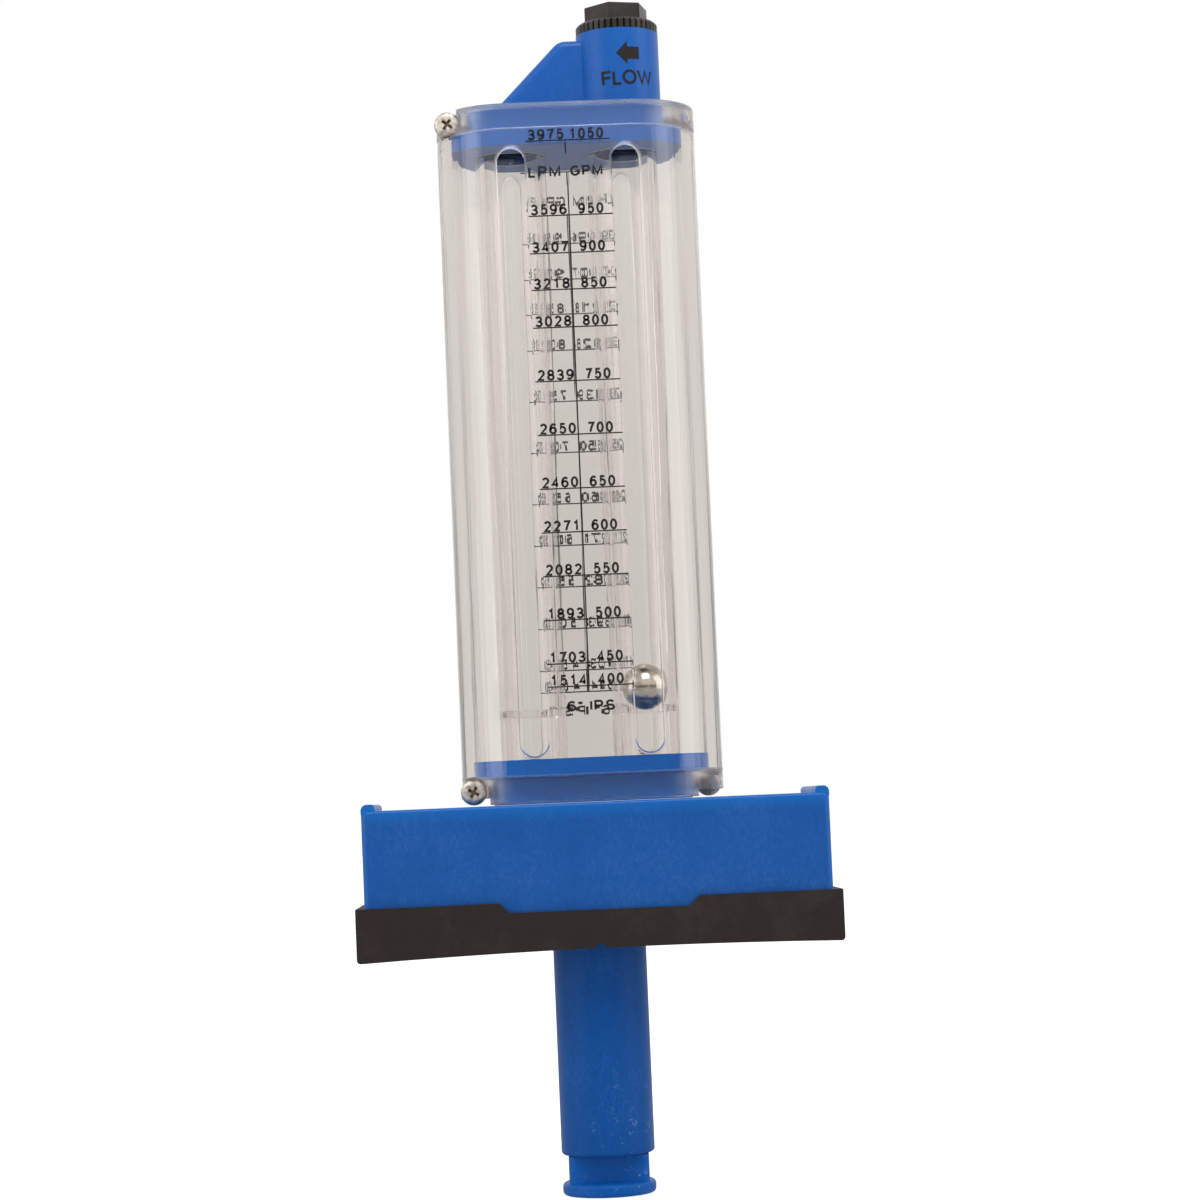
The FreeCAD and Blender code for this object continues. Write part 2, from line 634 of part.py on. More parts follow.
def add_sloping_rib(body, foot_level):
    """The rib that covers the passage from the tower down to the return tube."""
    rib_top = shell_top + dims.rib_height
    slope = math.tan(math.radians(dims.rib_slope.value))
    rib = new_sketch(body, "XZ_Plane")
    foot = -dims.rib_foot
    below = foot - (shell_top - foot_level) / slope
    shoulder = foot + dims.rib_height / slope
    add_polygon(rib, [(below, foot_level), (half_pitch, foot_level), (half_pitch, rib_top),
                      (shoulder, rib_top)])
    pad(body, rib, dims.rib_thickness, both_sides=True)
    half_thickness = dims.rib_thickness.value / 2
    round_edges(body, dims.rib_corner_round, lambda e: near(e.BoundBox.XMin, shoulder.value)
                and near(e.BoundBox.XMax, shoulder.value) and e.BoundBox.YLength > half_thickness)
    round_edges(body, dims.rib_edge_round, lambda e: near(abs(e.BoundBox.YMin), half_thickness)
                and near(e.BoundBox.YLength, 0) and e.BoundBox.ZMax > shell_top.value + 1
                and e.BoundBox.XMax < half_pitch.value - 1)


def make_top_fitting():
    """Joins the two tubes at the top: plate, neck, tower for the plug, and rib with its passage."""
    body = new_body("top_fitting")
    neck_top = shell_top - dims.stack_gap
    add_plate_and_neck(body, upper_plate_bottom, upper_plate_top, neck_top)
    add_sloping_rib(body, neck_top)
    tower = new_sketch(body, "XY_Plane", upper_plate_top)
    add_circle(tower, half_pitch, ZERO, dims.tower_radius)
    pad(body, tower, tower_top - upper_plate_top)

    socket = socket_corners(upper_plate_bottom, socket_top, dims.tube_upper_spigot_radius, 1)
    bore_out(body, -half_pitch, socket)
    bore_out(body, half_pitch, socket[:-1] + [
        (dims.tower_bore_radius, socket_top), (dims.tower_bore_radius, tower_top), (ZERO, tower_top)])
    drill(body, (half_pitch, shell_top + dims.crossover_height),
          (-half_pitch, socket_top - dims.crossover_radius), dims.crossover_radius)
    return body


def make_plug():
    """The hexagon plug: its stem stops the float, and its toothed rim is turned by hand."""
    body = new_body("hex_plug")
    shank = dims.tower_bore_radius - dims.plug_running_gap
    flange_bottom = tower_top + dims.stack_gap
    flange_top = flange_bottom + dims.plug_flange_thickness
    shank_bottom = tower_top - dims.plug_shank_length
    stem_bottom = Size.of(ball_highest_top) + dims.ball_stop_gap
    foot_top = stem_bottom + dims.plug_foot_thickness
    groove_radius = dims.tower_bore_radius - dims.ring_section
    groove_low = tower_top - dims.plug_ring_depth - dims.ring_groove_width / 2
    groove_high = groove_low + dims.ring_groove_width
    turn(body, [
        (ZERO, stem_bottom), (dims.plug_foot_radius, stem_bottom), (dims.plug_foot_radius, foot_top),
        (dims.plug_stem_radius, foot_top + dims.plug_foot_radius - dims.plug_stem_radius),
        (dims.plug_stem_radius, shank_bottom), (shank, shank_bottom), (shank, groove_low),
        (groove_radius, groove_low), (groove_radius, groove_high), (shank, groove_high),
        (shank, flange_bottom), (dims.plug_flange_radius, flange_bottom),
        (dims.plug_flange_radius, flange_top - dims.plug_flange_bevel),
        (dims.plug_flange_radius - dims.plug_flange_bevel, flange_top), (ZERO, flange_top)])

    tooth_gap = new_sketch(body, "XY_Plane", flange_bottom)
    floor = dims.plug_flange_radius - dims.knurl_depth
    outside = dims.plug_flange_radius + CUT_MARGIN
    add_polygon(tooth_gap, [(floor, ZERO), (outside, -dims.knurl_width), (outside, dims.knurl_width)])
    gap = cut(body, tooth_gap, dims.plug_flange_thickness, along_normal=True)
    teeth = body.newObject("PartDesign::PolarPattern", "hex_plug_teeth")
    teeth.Originals = [gap]
    teeth.Axis = (tooth_gap, ["N_Axis"])
    teeth.Angle = 360.0
    teeth.Occurrences = KNURL_TEETH
    body.Tip = teeth

    hexagon = new_sketch(body, "XY_Plane", flange_top)
    corner_radius = dims.hex_across_flats / math.sqrt(3)
    first = math.radians(FRONT + dims.hex_turn.value + 180 / HEXAGON)
    angles = [first + i * math.tau / HEXAGON for i in range(HEXAGON)]
    add_polygon(hexagon, [(corner_radius * math.cos(a), corner_radius * math.sin(a)) for a in angles])
    pad(body, hexagon, dims.hex_height)
    round_edges(body, dims.hex_edge_round, lambda e: flat_at(e, (flange_top + dims.hex_height).value))
    body.Placement.Base = FreeCAD.Vector(half_pitch.value, 0, 0)
    return body


def make_plug_ring():
    level = tower_top - dims.plug_ring_depth
    return make_ring("plug_ring", half_pitch, level, dims.tower_bore_radius - dims.ring_section / 2)


# ---- The saddle, its gasket and the pitot tube ----------------------------------------------------

def make_saddle():
    """The blue base: a cored block on the pipe, with lips across its ends."""
    body = new_body("saddle")
    half_length = dims.saddle_length / 2
    half_depth = dims.saddle_depth / 2
    block = new_sketch(body, "XY_Plane", -dims.gasket_lip_height)
    add_round_rectangle(block, half_length, -half_depth, half_depth, dims.saddle_corner_radius, True)
    pad(body, block, saddle_top + dims.gasket_lip_height)
    top = saddle_top.value
    round_edges(body, dims.saddle_edge_round, lambda e: flat_at(e, top) and near(e.BoundBox.YLength, 0))
    add_saddle_lips(body, half_length, half_depth)

    seat = new_sketch(body, "YZ_Plane")
    add_circle(seat, ZERO, -dims.pipe_outer_radius, saddle_seat_radius)
    cut_through(body, seat)
    add_saddle_pockets(body, half_length, half_depth)

    well = new_sketch(body, "XY_Plane", pitot_top + dims.stack_gap)
    add_circle(well, ZERO, ZERO, dims.pitot_neck_radius + dims.pitot_fit)
    cut(body, well, pitot_top + dims.stack_gap)
    drill_slanted_passages(body)
    return body


def make_lower_fitting():
    """The neck and plate on the saddle, which carry the clear body and the feet of both tubes."""
    body = new_body("lower_fitting")
    add_plate_and_neck(body, lower_plate_bottom, saddle_top + dims.stack_gap, lower_plate_bottom)
    socket = socket_corners(lower_plate_top, socket_bottom, dims.tube_lower_spigot_radius, -1)
    for side in (-1, 1):
        bore_out(body, half_pitch * side, socket)
    drill_slanted_passages(body)
    return body


def drill_slanted_passages(body):
    """The passages from the pitot tube's head out to the two tubes' sockets."""
    for side in (-1, 1):
        drill(body, (half_pitch * side, socket_bottom + dims.pitot_passage_radius),
              (dims.pitot_passage_offset * side, pitot_top), dims.pitot_passage_radius)


def add_saddle_lips(body, half_length, half_depth):
    """Raised lips across both ends keep the band clamps from slipping off."""
    lips = new_sketch(body, "XY_Plane", saddle_top - dims.saddle_edge_round)
    inset = dims.saddle_edge_round / 2
    for side in (-1, 1):
        add_rectangle(lips, (half_length - dims.lip_width) * side, half_length * side,
                      inset - half_depth, half_depth - inset)
    pad(body, lips, dims.lip_height + dims.saddle_edge_round)
    round_lip_edges(body, dims.lip_outer_round, half_length)
    round_lip_edges(body, dims.lip_inner_round, half_length - dims.lip_width)


def round_lip_edges(body, radius, x):
    """Rounds the lips' top edges that run front to back at a distance x from the middle."""
    lip_top = (saddle_top + dims.lip_height).value
    round_edges(body, radius, lambda e: flat_at(e, lip_top) and near(abs(e.BoundBox.XMin), x.value)
                and near(e.BoundBox.XLength, 0))


def add_saddle_pockets(body, half_length, half_depth):
    """Cores out both arms of the saddle from below, as a thick moulding is."""
    pockets = new_sketch(body, "XY_Plane", saddle_top - dims.saddle_roof)
    start = dims.saddle_hub_half_length
    end = half_length - dims.saddle_wall
    middle = (start + end) / 2
    half_rib = dims.saddle_rib / 2
    half_pocket = half_depth - dims.saddle_wall
    for side in (-1, 1):
        for low, high in ((start, middle - half_rib), (middle + half_rib, end)):
            add_rectangle(pockets, low * side, high * side, -half_pocket, half_pocket)
    cut(body, pockets, saddle_top - dims.saddle_roof + dims.gasket_lip_height)


def make_gasket():
    """The rubber boot round the saddle's foot, hollowed to the pipe and slightly bowed along it."""
    body = new_body("saddle_gasket")
    half_length = dims.saddle_length / 2 + dims.gasket_fit + dims.gasket_end_wall
    depth = dims.saddle_depth + (dims.gasket_fit + dims.gasket_side_wall) * 2
    low = dims.gasket_lip_height
    high = low + dims.gasket_lip_step
    step = dims.gasket_step_half_length
    far = step + dims.gasket_lip_step
    foot = -dims.gasket_lip_height
    side_view = new_sketch(body, "XZ_Plane")
    add_polygon(side_view, [
        (-half_length, foot), (half_length, foot), (half_length, high), (far, high), (step, low),
        (-step, low), (-far, high), (-half_length, high)])
    pad(body, side_view, depth, both_sides=True)
    pipe = dims.pipe_outer_radius.value
    land_depth = pipe - math.sqrt(pipe ** 2 - (depth.value / 2 - dims.gasket_land.value) ** 2)
    hollow_for_pipe(body, depth, land_depth)
    cut_saddle_seat(body)
    hole = new_sketch(body, "XY_Plane")
    add_circle(hole, ZERO, ZERO, dims.pitot_neck_radius + dims.gasket_hole_gap)
    cut_through(body, hole)
    marks = new_sketch(body, "XZ_Plane")
    add_circle(marks, ZERO, Size.of(-land_depth), dims.notch_radius)
    cut_through(body, marks)
    ends = half_length.value
    round_edges(body, dims.gasket_edge_round, lambda e: near(abs(e.BoundBox.XMin), ends)
                and near(abs(e.BoundBox.XMax), ends) and e.BoundBox.ZMax < -0.5 and e.BoundBox.YLength > 1)
    return body


def hollow_for_pipe(body, depth, land_depth):
    """Hollows the gasket to the pipe, bowed so that it meets the pipe's crown at the tube."""
    bow = dims.gasket_bow_radius
    offset = dims.gasket_bow_offset.value
    across = FreeCAD.Rotation(FreeCAD.Vector(1, 0, 0), 90)
    centre = FreeCAD.Vector(offset, 0, -math.sqrt(bow.value ** 2 - offset ** 2))
    add_feature(body, "SubtractiveTorus", None, Radius1=bow - dims.pipe_outer_radius,
                Radius2=dims.pipe_outer_radius, Placement=FreeCAD.Placement(centre, across))
    side = centre + FreeCAD.Vector(0, depth.value / 2 + CUT_MARGIN, 0)
    add_feature(body, "SubtractiveCylinder", None, Radius=bow - land_depth,
                Height=depth + CUT_MARGIN * 2, Placement=FreeCAD.Placement(side, across))


def cut_saddle_seat(body):
    """Hollows the gasket for the saddle's foot, down to a web of even thickness over the pipe."""
    half_depth = dims.saddle_depth / 2 + dims.gasket_fit
    y = half_depth.value
    radius = saddle_seat_radius.value
    centre_z = -dims.pipe_outer_radius.value
    above = dims.gasket_lip_height + dims.gasket_lip_step + CUT_MARGIN
    half_angle = math.asin(y / radius)
    edge_z = centre_z + radius * math.cos(half_angle)
    seat = new_sketch(body, "YZ_Plane")
    corners = [FreeCAD.Vector(y, edge_z, 0), FreeCAD.Vector(y, above.value, 0),
               FreeCAD.Vector(-y, above.value, 0), FreeCAD.Vector(-y, edge_z, 0)]
    for start, end in zip(corners, corners[1:]):
        seat.addGeometry(Part.LineSegment(start, end))
    circle = Part.Circle(FreeCAD.Vector(0, centre_z, 0), FreeCAD.Vector(0, 0, 1), radius)
    seat.addGeometry(Part.ArcOfCircle(circle, math.pi / 2 - half_angle, math.pi / 2 + half_angle))
    for one, one_end, other, other_end in ((0, 2, 1, 1), (1, 2, 2, 1), (2, 2, 3, 2), (3, 1, 0, 1)):
        seat.addConstraint(Sketcher.Constraint("Coincident", one, one_end, other, other_end))
    seat.addConstraint(Sketcher.Constraint("Vertical", 0))
    seat.addConstraint(Sketcher.Constraint("Vertical", 2))
    fix_point(seat, 1, 1, half_depth, above)
    fix_point(seat, 2, 1, -half_depth, above)
    fix_point(seat, 3, 3, ZERO, -dims.pipe_outer_radius)
    seat.addConstraint(Sketcher.Constraint("Radius", 3, radius))
    bind_last(seat, saddle_seat_radius)
    add_feature(body, "Pocket", seat, Length=dims.saddle_length + dims.gasket_fit * 2, Midplane=True)


def add_passages(body, top, length):
    """Two round passages side by side, cut down from the top."""
    passages = new_sketch(body, "XY_Plane", top)
    for side in (-1, 1):
        add_circle(passages, dims.pitot_passage_offset * side, ZERO, dims.pitot_passage_radius)
    cut(body, passages, length)


def make_pitot_tube():
    """The tube that reaches into the pipe; two passages run down it, side by side."""
    body = new_body("pitot_tube")
    shoulder = -dims.pitot_shoulder_drop
    turn(body, [
        (ZERO, -dims.pitot_insertion), (dims.pitot_outer_radius, -dims.pitot_insertion),
        (dims.pitot_outer_radius, shoulder), (dims.pitot_neck_radius, shoulder),
        (dims.pitot_neck_radius, pitot_top), (ZERO, pitot_top)])
    add_passages(body, pitot_top, pitot_top + dims.pitot_insertion)
    end = -dims.pitot_insertion.value
    outer = dims.pitot_outer_radius.value
    round_edges(body, dims.pitot_end_round, lambda e: flat_at(e, end) and e.Curve.Radius > outer - 0.01)
    return body


def make_pitot_tip():
    """The tip on the tube's end: a flat-sided neck with a port in each side, and an end disc."""
    body = new_body("pitot_tip")
    neck_top = -dims.pitot_insertion - dims.stack_gap
    neck_bottom = neck_top - dims.tip_neck_height
    disc_bottom = neck_bottom - dims.tip_disc_thickness
    disc = new_sketch(body, "XY_Plane", disc_bottom)
    add_circle(disc, ZERO, ZERO, dims.pitot_outer_radius)
    pad(body, disc, dims.tip_disc_thickness)
    rims = [disc_bottom.value, neck_bottom.value]
    round_edges(body, dims.tip_disc_round, lambda e: any(flat_at(e, z) for z in rims))
    neck = new_sketch(body, "XY_Plane", neck_bottom - dims.tip_disc_thickness / 2)
    add_round_rectangle(neck, dims.tip_neck_width / 2, -(dims.tip_neck_depth / 2), dims.tip_neck_depth / 2,
                        dims.tip_neck_corner, True)
    pad(body, neck, dims.tip_neck_height + dims.tip_disc_thickness / 2)
    port_level = (neck_top + neck_bottom) / 2
    add_passages(body, neck_top, neck_top - port_level)
    for side in (-1, 1):
        start = (dims.pitot_passage_offset * side, port_level)
        drill(body, start, (start[0] + dims.tip_neck_width / 2 * side, port_level), dims.port_radius)
    return body


# ---- Everything, and the hand-over ----------------------------------------------------------------

pieces = [make_shell("front_shell", False), make_shell("back_shell", True)]
pieces += [make_tube("metering_tube", 1), make_tube("return_tube", -1), make_ball()]
pieces += make_tube_rings()
pieces += [make_top_fitting(), make_plug(), make_plug_ring()]
pieces += [make_saddle(), make_lower_fitting(), make_pitot_tube(), make_pitot_tip(), make_gasket()]
pieces += make_screws()
doc.recompute()

for item in doc.Objects:
    if "Invalid" in item.State or "Error" in item.State:
        raise RuntimeError("%s failed: %s" % (item.Name, item.State))
os.makedirs("parts", exist_ok=True)
for piece in pieces:
    if piece.Shape.isNull() or not piece.Shape.isValid():
        raise RuntimeError(piece.Label + " has no valid shape")
    piece.Shape.exportStep(os.path.join("parts", piece.Label + ".step"))
    print("%-26s %10.1f mm3" % (piece.Label, piece.Shape.Volume))
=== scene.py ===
import math
import bmesh
import bpy
from mathutils import Euler, Matrix, Quaternion, Vector


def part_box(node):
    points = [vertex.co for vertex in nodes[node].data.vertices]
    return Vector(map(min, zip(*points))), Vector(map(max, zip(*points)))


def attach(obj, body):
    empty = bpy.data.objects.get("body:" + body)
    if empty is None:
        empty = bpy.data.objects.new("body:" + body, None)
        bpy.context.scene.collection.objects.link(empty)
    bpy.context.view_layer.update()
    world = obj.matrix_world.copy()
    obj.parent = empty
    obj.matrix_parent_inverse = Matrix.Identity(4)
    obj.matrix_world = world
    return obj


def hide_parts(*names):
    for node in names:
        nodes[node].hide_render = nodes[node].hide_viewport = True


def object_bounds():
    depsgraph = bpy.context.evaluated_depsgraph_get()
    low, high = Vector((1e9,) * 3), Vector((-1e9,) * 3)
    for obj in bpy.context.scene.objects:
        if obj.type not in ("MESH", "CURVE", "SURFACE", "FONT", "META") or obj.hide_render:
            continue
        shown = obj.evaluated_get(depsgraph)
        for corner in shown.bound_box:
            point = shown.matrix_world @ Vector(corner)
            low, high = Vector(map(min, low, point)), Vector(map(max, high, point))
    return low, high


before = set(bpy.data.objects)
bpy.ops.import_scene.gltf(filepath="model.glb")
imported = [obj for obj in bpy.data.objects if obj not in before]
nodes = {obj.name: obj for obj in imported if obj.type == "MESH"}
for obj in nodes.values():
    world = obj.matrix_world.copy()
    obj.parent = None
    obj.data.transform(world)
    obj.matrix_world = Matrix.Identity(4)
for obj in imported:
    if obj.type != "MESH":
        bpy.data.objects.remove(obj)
solid_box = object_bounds()
scene = bpy.context.scene

# ---- The camera ----------------------------------------------------------------------------------
# A long lens about a metre in front of the scale, a little below the middle of the clear body.
# It looks slightly up, and it is held a little turned, so that the meter's top leans left.

LENS = 96.0
camera_data = bpy.data.cameras.new("camera")
camera_data.lens = LENS
camera_data.sensor_width = 36.0
camera_data.clip_start = 0.05
camera = bpy.data.objects.new("camera", camera_data)
camera_place = Vector((-0.02144, -0.98868, 0.03900))
camera_target = Vector((0.00401, -0.026, 0.10057))
camera_turn = Quaternion((0, 0, 1), -0.04292)
aim = (camera_target - camera_place).to_track_quat("-Z", "Y") @ camera_turn
camera.matrix_world = Matrix.Translation(camera_place) @ aim.to_matrix().to_4x4()
scene.collection.objects.link(camera)
scene.camera = camera

# ---- The gasket and the rubber rings ---------------------------------------------------------------
# One moulded boot of soft black rubber is stretched over the foot of the saddle and seals on the pipe.
# Its skin is matt and slightly open, with a little pale dust. The small rings are of the same rubber.

RUBBER_BLACK = (0.017, 0.011, 0.010, 1)
RUBBER_DUSTY = (0.034, 0.026, 0.024, 1)


def new_material(name):
    """A material with its node tree, its shader and the object coordinates that patterns read."""
    material = bpy.data.materials.new(name)
    material.use_nodes = True
    tree = material.node_tree
    shader = tree.nodes["Principled BSDF"]
    where = tree.nodes.new("ShaderNodeTexCoord").outputs["Object"]
    return material, tree, shader, where


def stretched(tree, where, scale):
    """The coordinates, scaled apart along X, Y and Z."""
    mapping = tree.nodes.new("ShaderNodeMapping")
    mapping.inputs["Scale"].default_value = scale
    tree.links.new(where, mapping.inputs["Vector"])
    return mapping.outputs["Vector"]


def noise(tree, where, scale, detail=3.0, rough=0.55):
    """A cloudy value between 0 and 1; scale counts its clouds in a metre."""
    node = tree.nodes.new("ShaderNodeTexNoise")
    node.inputs["Scale"].default_value = scale
    node.inputs["Detail"].default_value = detail
    node.inputs["Roughness"].default_value = rough
    tree.links.new(where, node.inputs["Vector"])
    return node.outputs["Fac"]


def graded(tree, value, stops):
    """A colour ramp over a value; stops are (position, colour)."""
    ramp = tree.nodes.new("ShaderNodeValToRGB")
    band = ramp.color_ramp
    while len(band.elements) < len(stops):
        band.elements.new(0.5)
    for element, (position, colour) in zip(band.elements, stops):
        element.position = position
        element.color = colour
    tree.links.new(value, ramp.inputs["Fac"])
    return ramp.outputs["Color"]


def ranged(tree, value, low, high, to_low, to_high):
    """Maps low..high of a value to another range, clamped."""
    node = tree.nodes.new("ShaderNodeMapRange")
    for key, number in (("From Min", low), ("From Max", high), ("To Min", to_low), ("To Max", to_high)):
        node.inputs[key].default_value = number
    tree.links.new(value, node.inputs["Value"])
    return node.outputs["Result"]


def bumped(tree, shader, height, strength, distance):
    """Raises and sinks the skin by a value, up to a distance in metres."""
    bump = tree.nodes.new("ShaderNodeBump")
    bump.inputs["Strength"].default_value = strength
    bump.inputs["Distance"].default_value = distance
    tree.links.new(height, bump.inputs["Height"])
    tree.links.new(bump.outputs["Normal"], shader.inputs["Normal"])


def dress(names, material):
    """Puts a material on CAD nodes that keep their shape."""
    for name in names:
        nodes[name].data.materials[0] = material


rubber, tree, shader, where = new_material("moulded_rubber")
dust = noise(tree, where, 45.0, 6.0, 0.7)
grain = noise(tree, where, 900.0, 4.0)
tree.links.new(graded(tree, dust, [(0.50, RUBBER_BLACK), (0.78, RUBBER_DUSTY)]),
               shader.inputs["Base Color"])
tree.links.new(ranged(tree, grain, 0.3, 0.7, 0.52, 0.72), shader.inputs["Roughness"])
shader.inputs["Specular IOR Level"].default_value = 0.22
bumped(tree, shader, grain, 0.30, 0.0002)
dress(["saddle_gasket", "metering_tube_lower_ring", "return_tube_lower_ring",
       "metering_tube_upper_ring", "return_tube_upper_ring", "plug_ring"], rubber)

# ---- The blue mouldings ----------------------------------------------------------------------------
# The saddle, both fittings, the pitot tube and its tip are injection moulded in blue polypropylene.
# The skin is waxy: slightly cloudy in colour, with soft sinks and flow marks but no hard gloss.

BLUE = (0.0025, 0.084, 0.345)
BLUE_GLOW = (0.0, 0.155, 0.56, 1)
TOP_GLOW = 0.55
TOP_GLOW_DEPTH = 0.0050
END_GLOW = 0.50
END_GLOW_DEPTH = 0.0016
SADDLE_LIP = 0.002
SCUFF_WHITE = (0.30, 0.42, 0.62, 1)
SCUFF_HEIGHTS = (-0.056, -0.038)
SCUFF_SIDE = (-0.002, 0.003)


def toned(colour, factor, lift=0.0):
    """A colour made darker or lighter by a factor, and paler by a lift."""
    return tuple(channel * factor + lift for channel in colour) + (1,)


def connect(tree, socket, value):
    """Sets a socket, or links it where the value is another node's socket."""
    if isinstance(value, (float, tuple)):
        socket.default_value = value
    else:
        tree.links.new(value, socket)


def mixed(tree, factor, one, other):
    """One colour passing into another."""
    node = tree.nodes.new("ShaderNodeMix")
    node.data_type = "RGBA"
    connect(tree, node.inputs["Factor"], factor)
    connect(tree, node.inputs[6], one)
    connect(tree, node.inputs[7], other)
    return node.outputs[2]


def combined(tree, operation, one, other=0.0):
    """The result of one sum, such as MULTIPLY or ABSOLUTE, on one or two values."""
    node = tree.nodes.new("ShaderNodeMath")
    node.operation = operation
    connect(tree, node.inputs[0], one)
    connect(tree, node.inputs[1], other)
    return node.outputs[0]


def axes_of(tree, where):
    """The X, Y and Z of coordinates, each as a value."""
    node = tree.nodes.new("ShaderNodeSeparateXYZ")
    tree.links.new(where, node.inputs[0])
    return node.outputs


def glow_at_edges(tree, along, colour, top, end):
    """Lightens the upper edge and both ends, where light soaks through the thin plastic."""
    top_glow = ranged(tree, along["Z"], top - TOP_GLOW_DEPTH, top, 0.0, TOP_GLOW)
    reach = combined(tree, "ABSOLUTE", along["X"])
    end_glow = ranged(tree, reach, end - END_GLOW_DEPTH, end, 0.0, END_GLOW)
    return mixed(tree, combined(tree, "MAXIMUM", top_glow, end_glow), colour, BLUE_GLOW)


def scuff_low_end(tree, where, along, colour):
    """Pale scuffs near the tip, most of them on the right, from pushing the tube into the pipe."""
    low = ranged(tree, along["Z"], *SCUFF_HEIGHTS, 1.0, 0.0)
    right = ranged(tree, along["X"], *SCUFF_SIDE, 0.25, 1.0)
    specks = noise(tree, where, 300.0, 5.0, 0.75)
    rubbed = combined(tree, "MULTIPLY", ranged(tree, specks, 0.60, 0.70, 0.0, 0.6),
                      combined(tree, "MULTIPLY", low, right))
    return mixed(tree, rubbed, colour, SCUFF_WHITE)


def make_blue(name, painted_light_tone, gloss, edges=None, scuffed=False):
    """Blue polypropylene, a little cloudy, made lighter or darker as a whole by a painted light tone;
    edges gives the top and the end of a piece that glows there.
    """
    material, tree, shader, where = new_material(name)
    cloud = noise(tree, where, 38.0, 5.0, 0.6)
    fibres = noise(tree, stretched(tree, where, (1.0, 1.0, 0.55)), 1100.0, 3.0, 0.7)
    mottle = combined(tree, "ADD", combined(tree, "MULTIPLY", cloud, 0.5),
                      combined(tree, "MULTIPLY", fibres, 0.5))
    colour = graded(tree, mottle, [(0.34, toned(BLUE, 0.88 * painted_light_tone)), (0.50, toned(BLUE, painted_light_tone)),
                                   (0.68, toned(BLUE, 1.08 * painted_light_tone, 0.014))])
    along = axes_of(tree, where)
    if edges:
        colour = glow_at_edges(tree, along, colour, *edges)
    if scuffed:
        colour = scuff_low_end(tree, where, along, colour)
    tree.links.new(colour, shader.inputs["Base Color"])
    tree.links.new(ranged(tree, mottle, 0.35, 0.65, 0.32, 0.46), shader.inputs["Roughness"])
    shader.inputs["IOR"].default_value = 1.49
    shader.inputs["Specular IOR Level"].default_value = gloss
    bumped(tree, shader, noise(tree, where, 420.0, 4.0), 0.12, 0.0003)
    return material


# The one blue gets a tone per piece, which is painted light and shade: the fittings and the tip are
# lighter, and the saddle and the tube darker, as the light falls on each.
saddle_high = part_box("saddle")[1]
saddle_edges = (saddle_high.z - SADDLE_LIP, saddle_high.x)
dress(["saddle"], make_blue("blue_saddle", 0.96, 0.27, saddle_edges))
dress(["lower_fitting"], make_blue("blue_lower_fitting", 1.34, 0.08))
dress(["top_fitting"], make_blue("blue_top_fitting", 1.18, 0.28))
dress(["pitot_tube"], make_blue("scuffed_blue_tube", 0.88, 0.13, None, True))
dress(["pitot_tip"], make_blue("scuffed_blue_tip", 1.12, 0.13, None, True))

# ---- The float ball --------------------------------------------------------------------------------
# A 9/16 inch bearing ball of stainless steel rides in the metering tube, and its middle marks the flow.
# It is ground and polished, with a few hair scratches from the tube.

steel, tree, shader, where = new_material("polished_ball")
shader.inputs["Metallic"].default_value = 1.0
haze = noise(tree, where, 160.0, 4.0)
tree.links.new(graded(tree, haze, [(0.35, (0.47, 0.43, 0.39, 1)), (0.65, (0.58, 0.54, 0.49, 1))]),
               shader.inputs["Base Color"])
tree.links.new(ranged(tree, haze, 0.3, 0.7, 0.14, 0.22), shader.inputs["Roughness"])
scratches = noise(tree, stretched(tree, where, (1.0, 1.0, 9.0)), 700.0, 2.0)
bumped(tree, shader, scratches, 0.03, 0.0001)
dress(["float_ball"], steel)

# ---- The clear body and tubes ----------------------------------------------------------------------
# Two half shells and two tapered tubes are moulded in clear plastic, warm and grey in thick places.
# The polished mould leaves faint upright draw lines. Edges, inner corners and the screw holes are
# frosted, and light passes the walls as through window glass.

CLEAR_TINT = (0.35, 0.225, 0.10, 1)
CLEAR_DENSITY = 12.0
DRAW_LINE_POLISH = 0.05
FROST_ROUGHNESS = 0.45
FROST_WIDTH = 0.0005
SLOT_RADIUS = 0.0042
SLOT_FADE = 0.016
SLOT_LOWER_FROST = 0.4
SLOT_LOWER_MARGIN = 0.0008
SLOT_UPPER_MARGIN = 0.0011
PLATE_THICKNESS = 0.0051
FLANGE_HAZE = 0.5
RIM_INSIDE = (0.0232, 0.0240)
HOLE_FROST_DEPTHS = (0.0140, 0.0148)
HOLE_FROST_RADII = (0.0024, 0.0027)


def distance(tree, across, along):
    """The length of two values at right angles."""
    squares = combined(tree, "ADD", combined(tree, "MULTIPLY", across, across),
                       combined(tree, "MULTIPLY", along, along))
    return combined(tree, "SQRT", squares)


def apart(tree, value, centre):
    """How far a value is from a centre, on either side of it."""
    return combined(tree, "ABSOLUTE", combined(tree, "SUBTRACT", value, centre))


def hole_frost(tree, along):
    """1 on the walls of the screw holes, where the threads have cut and whitened the plastic."""
    deep = ranged(tree, combined(tree, "ABSOLUTE", along["Y"]), *HOLE_FROST_DEPTHS, 1.0, 0.0)
    from_plane = combined(tree, "ABSOLUTE", along["X"])
    frost = 0.0
    for node in ("back_upper_screw", "back_lower_screw"):
        middle = sum(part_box(node), Vector()) / 2
        off_axis = distance(tree, combined(tree, "SUBTRACT", along["Z"], middle.z),
                            combined(tree, "SUBTRACT", from_plane, middle.x))
        close = ranged(tree, off_axis, *HOLE_FROST_RADII, 1.0, 0.0)
        frost = combined(tree, "MAXIMUM", frost, close)
    return combined(tree, "MULTIPLY", frost, deep)


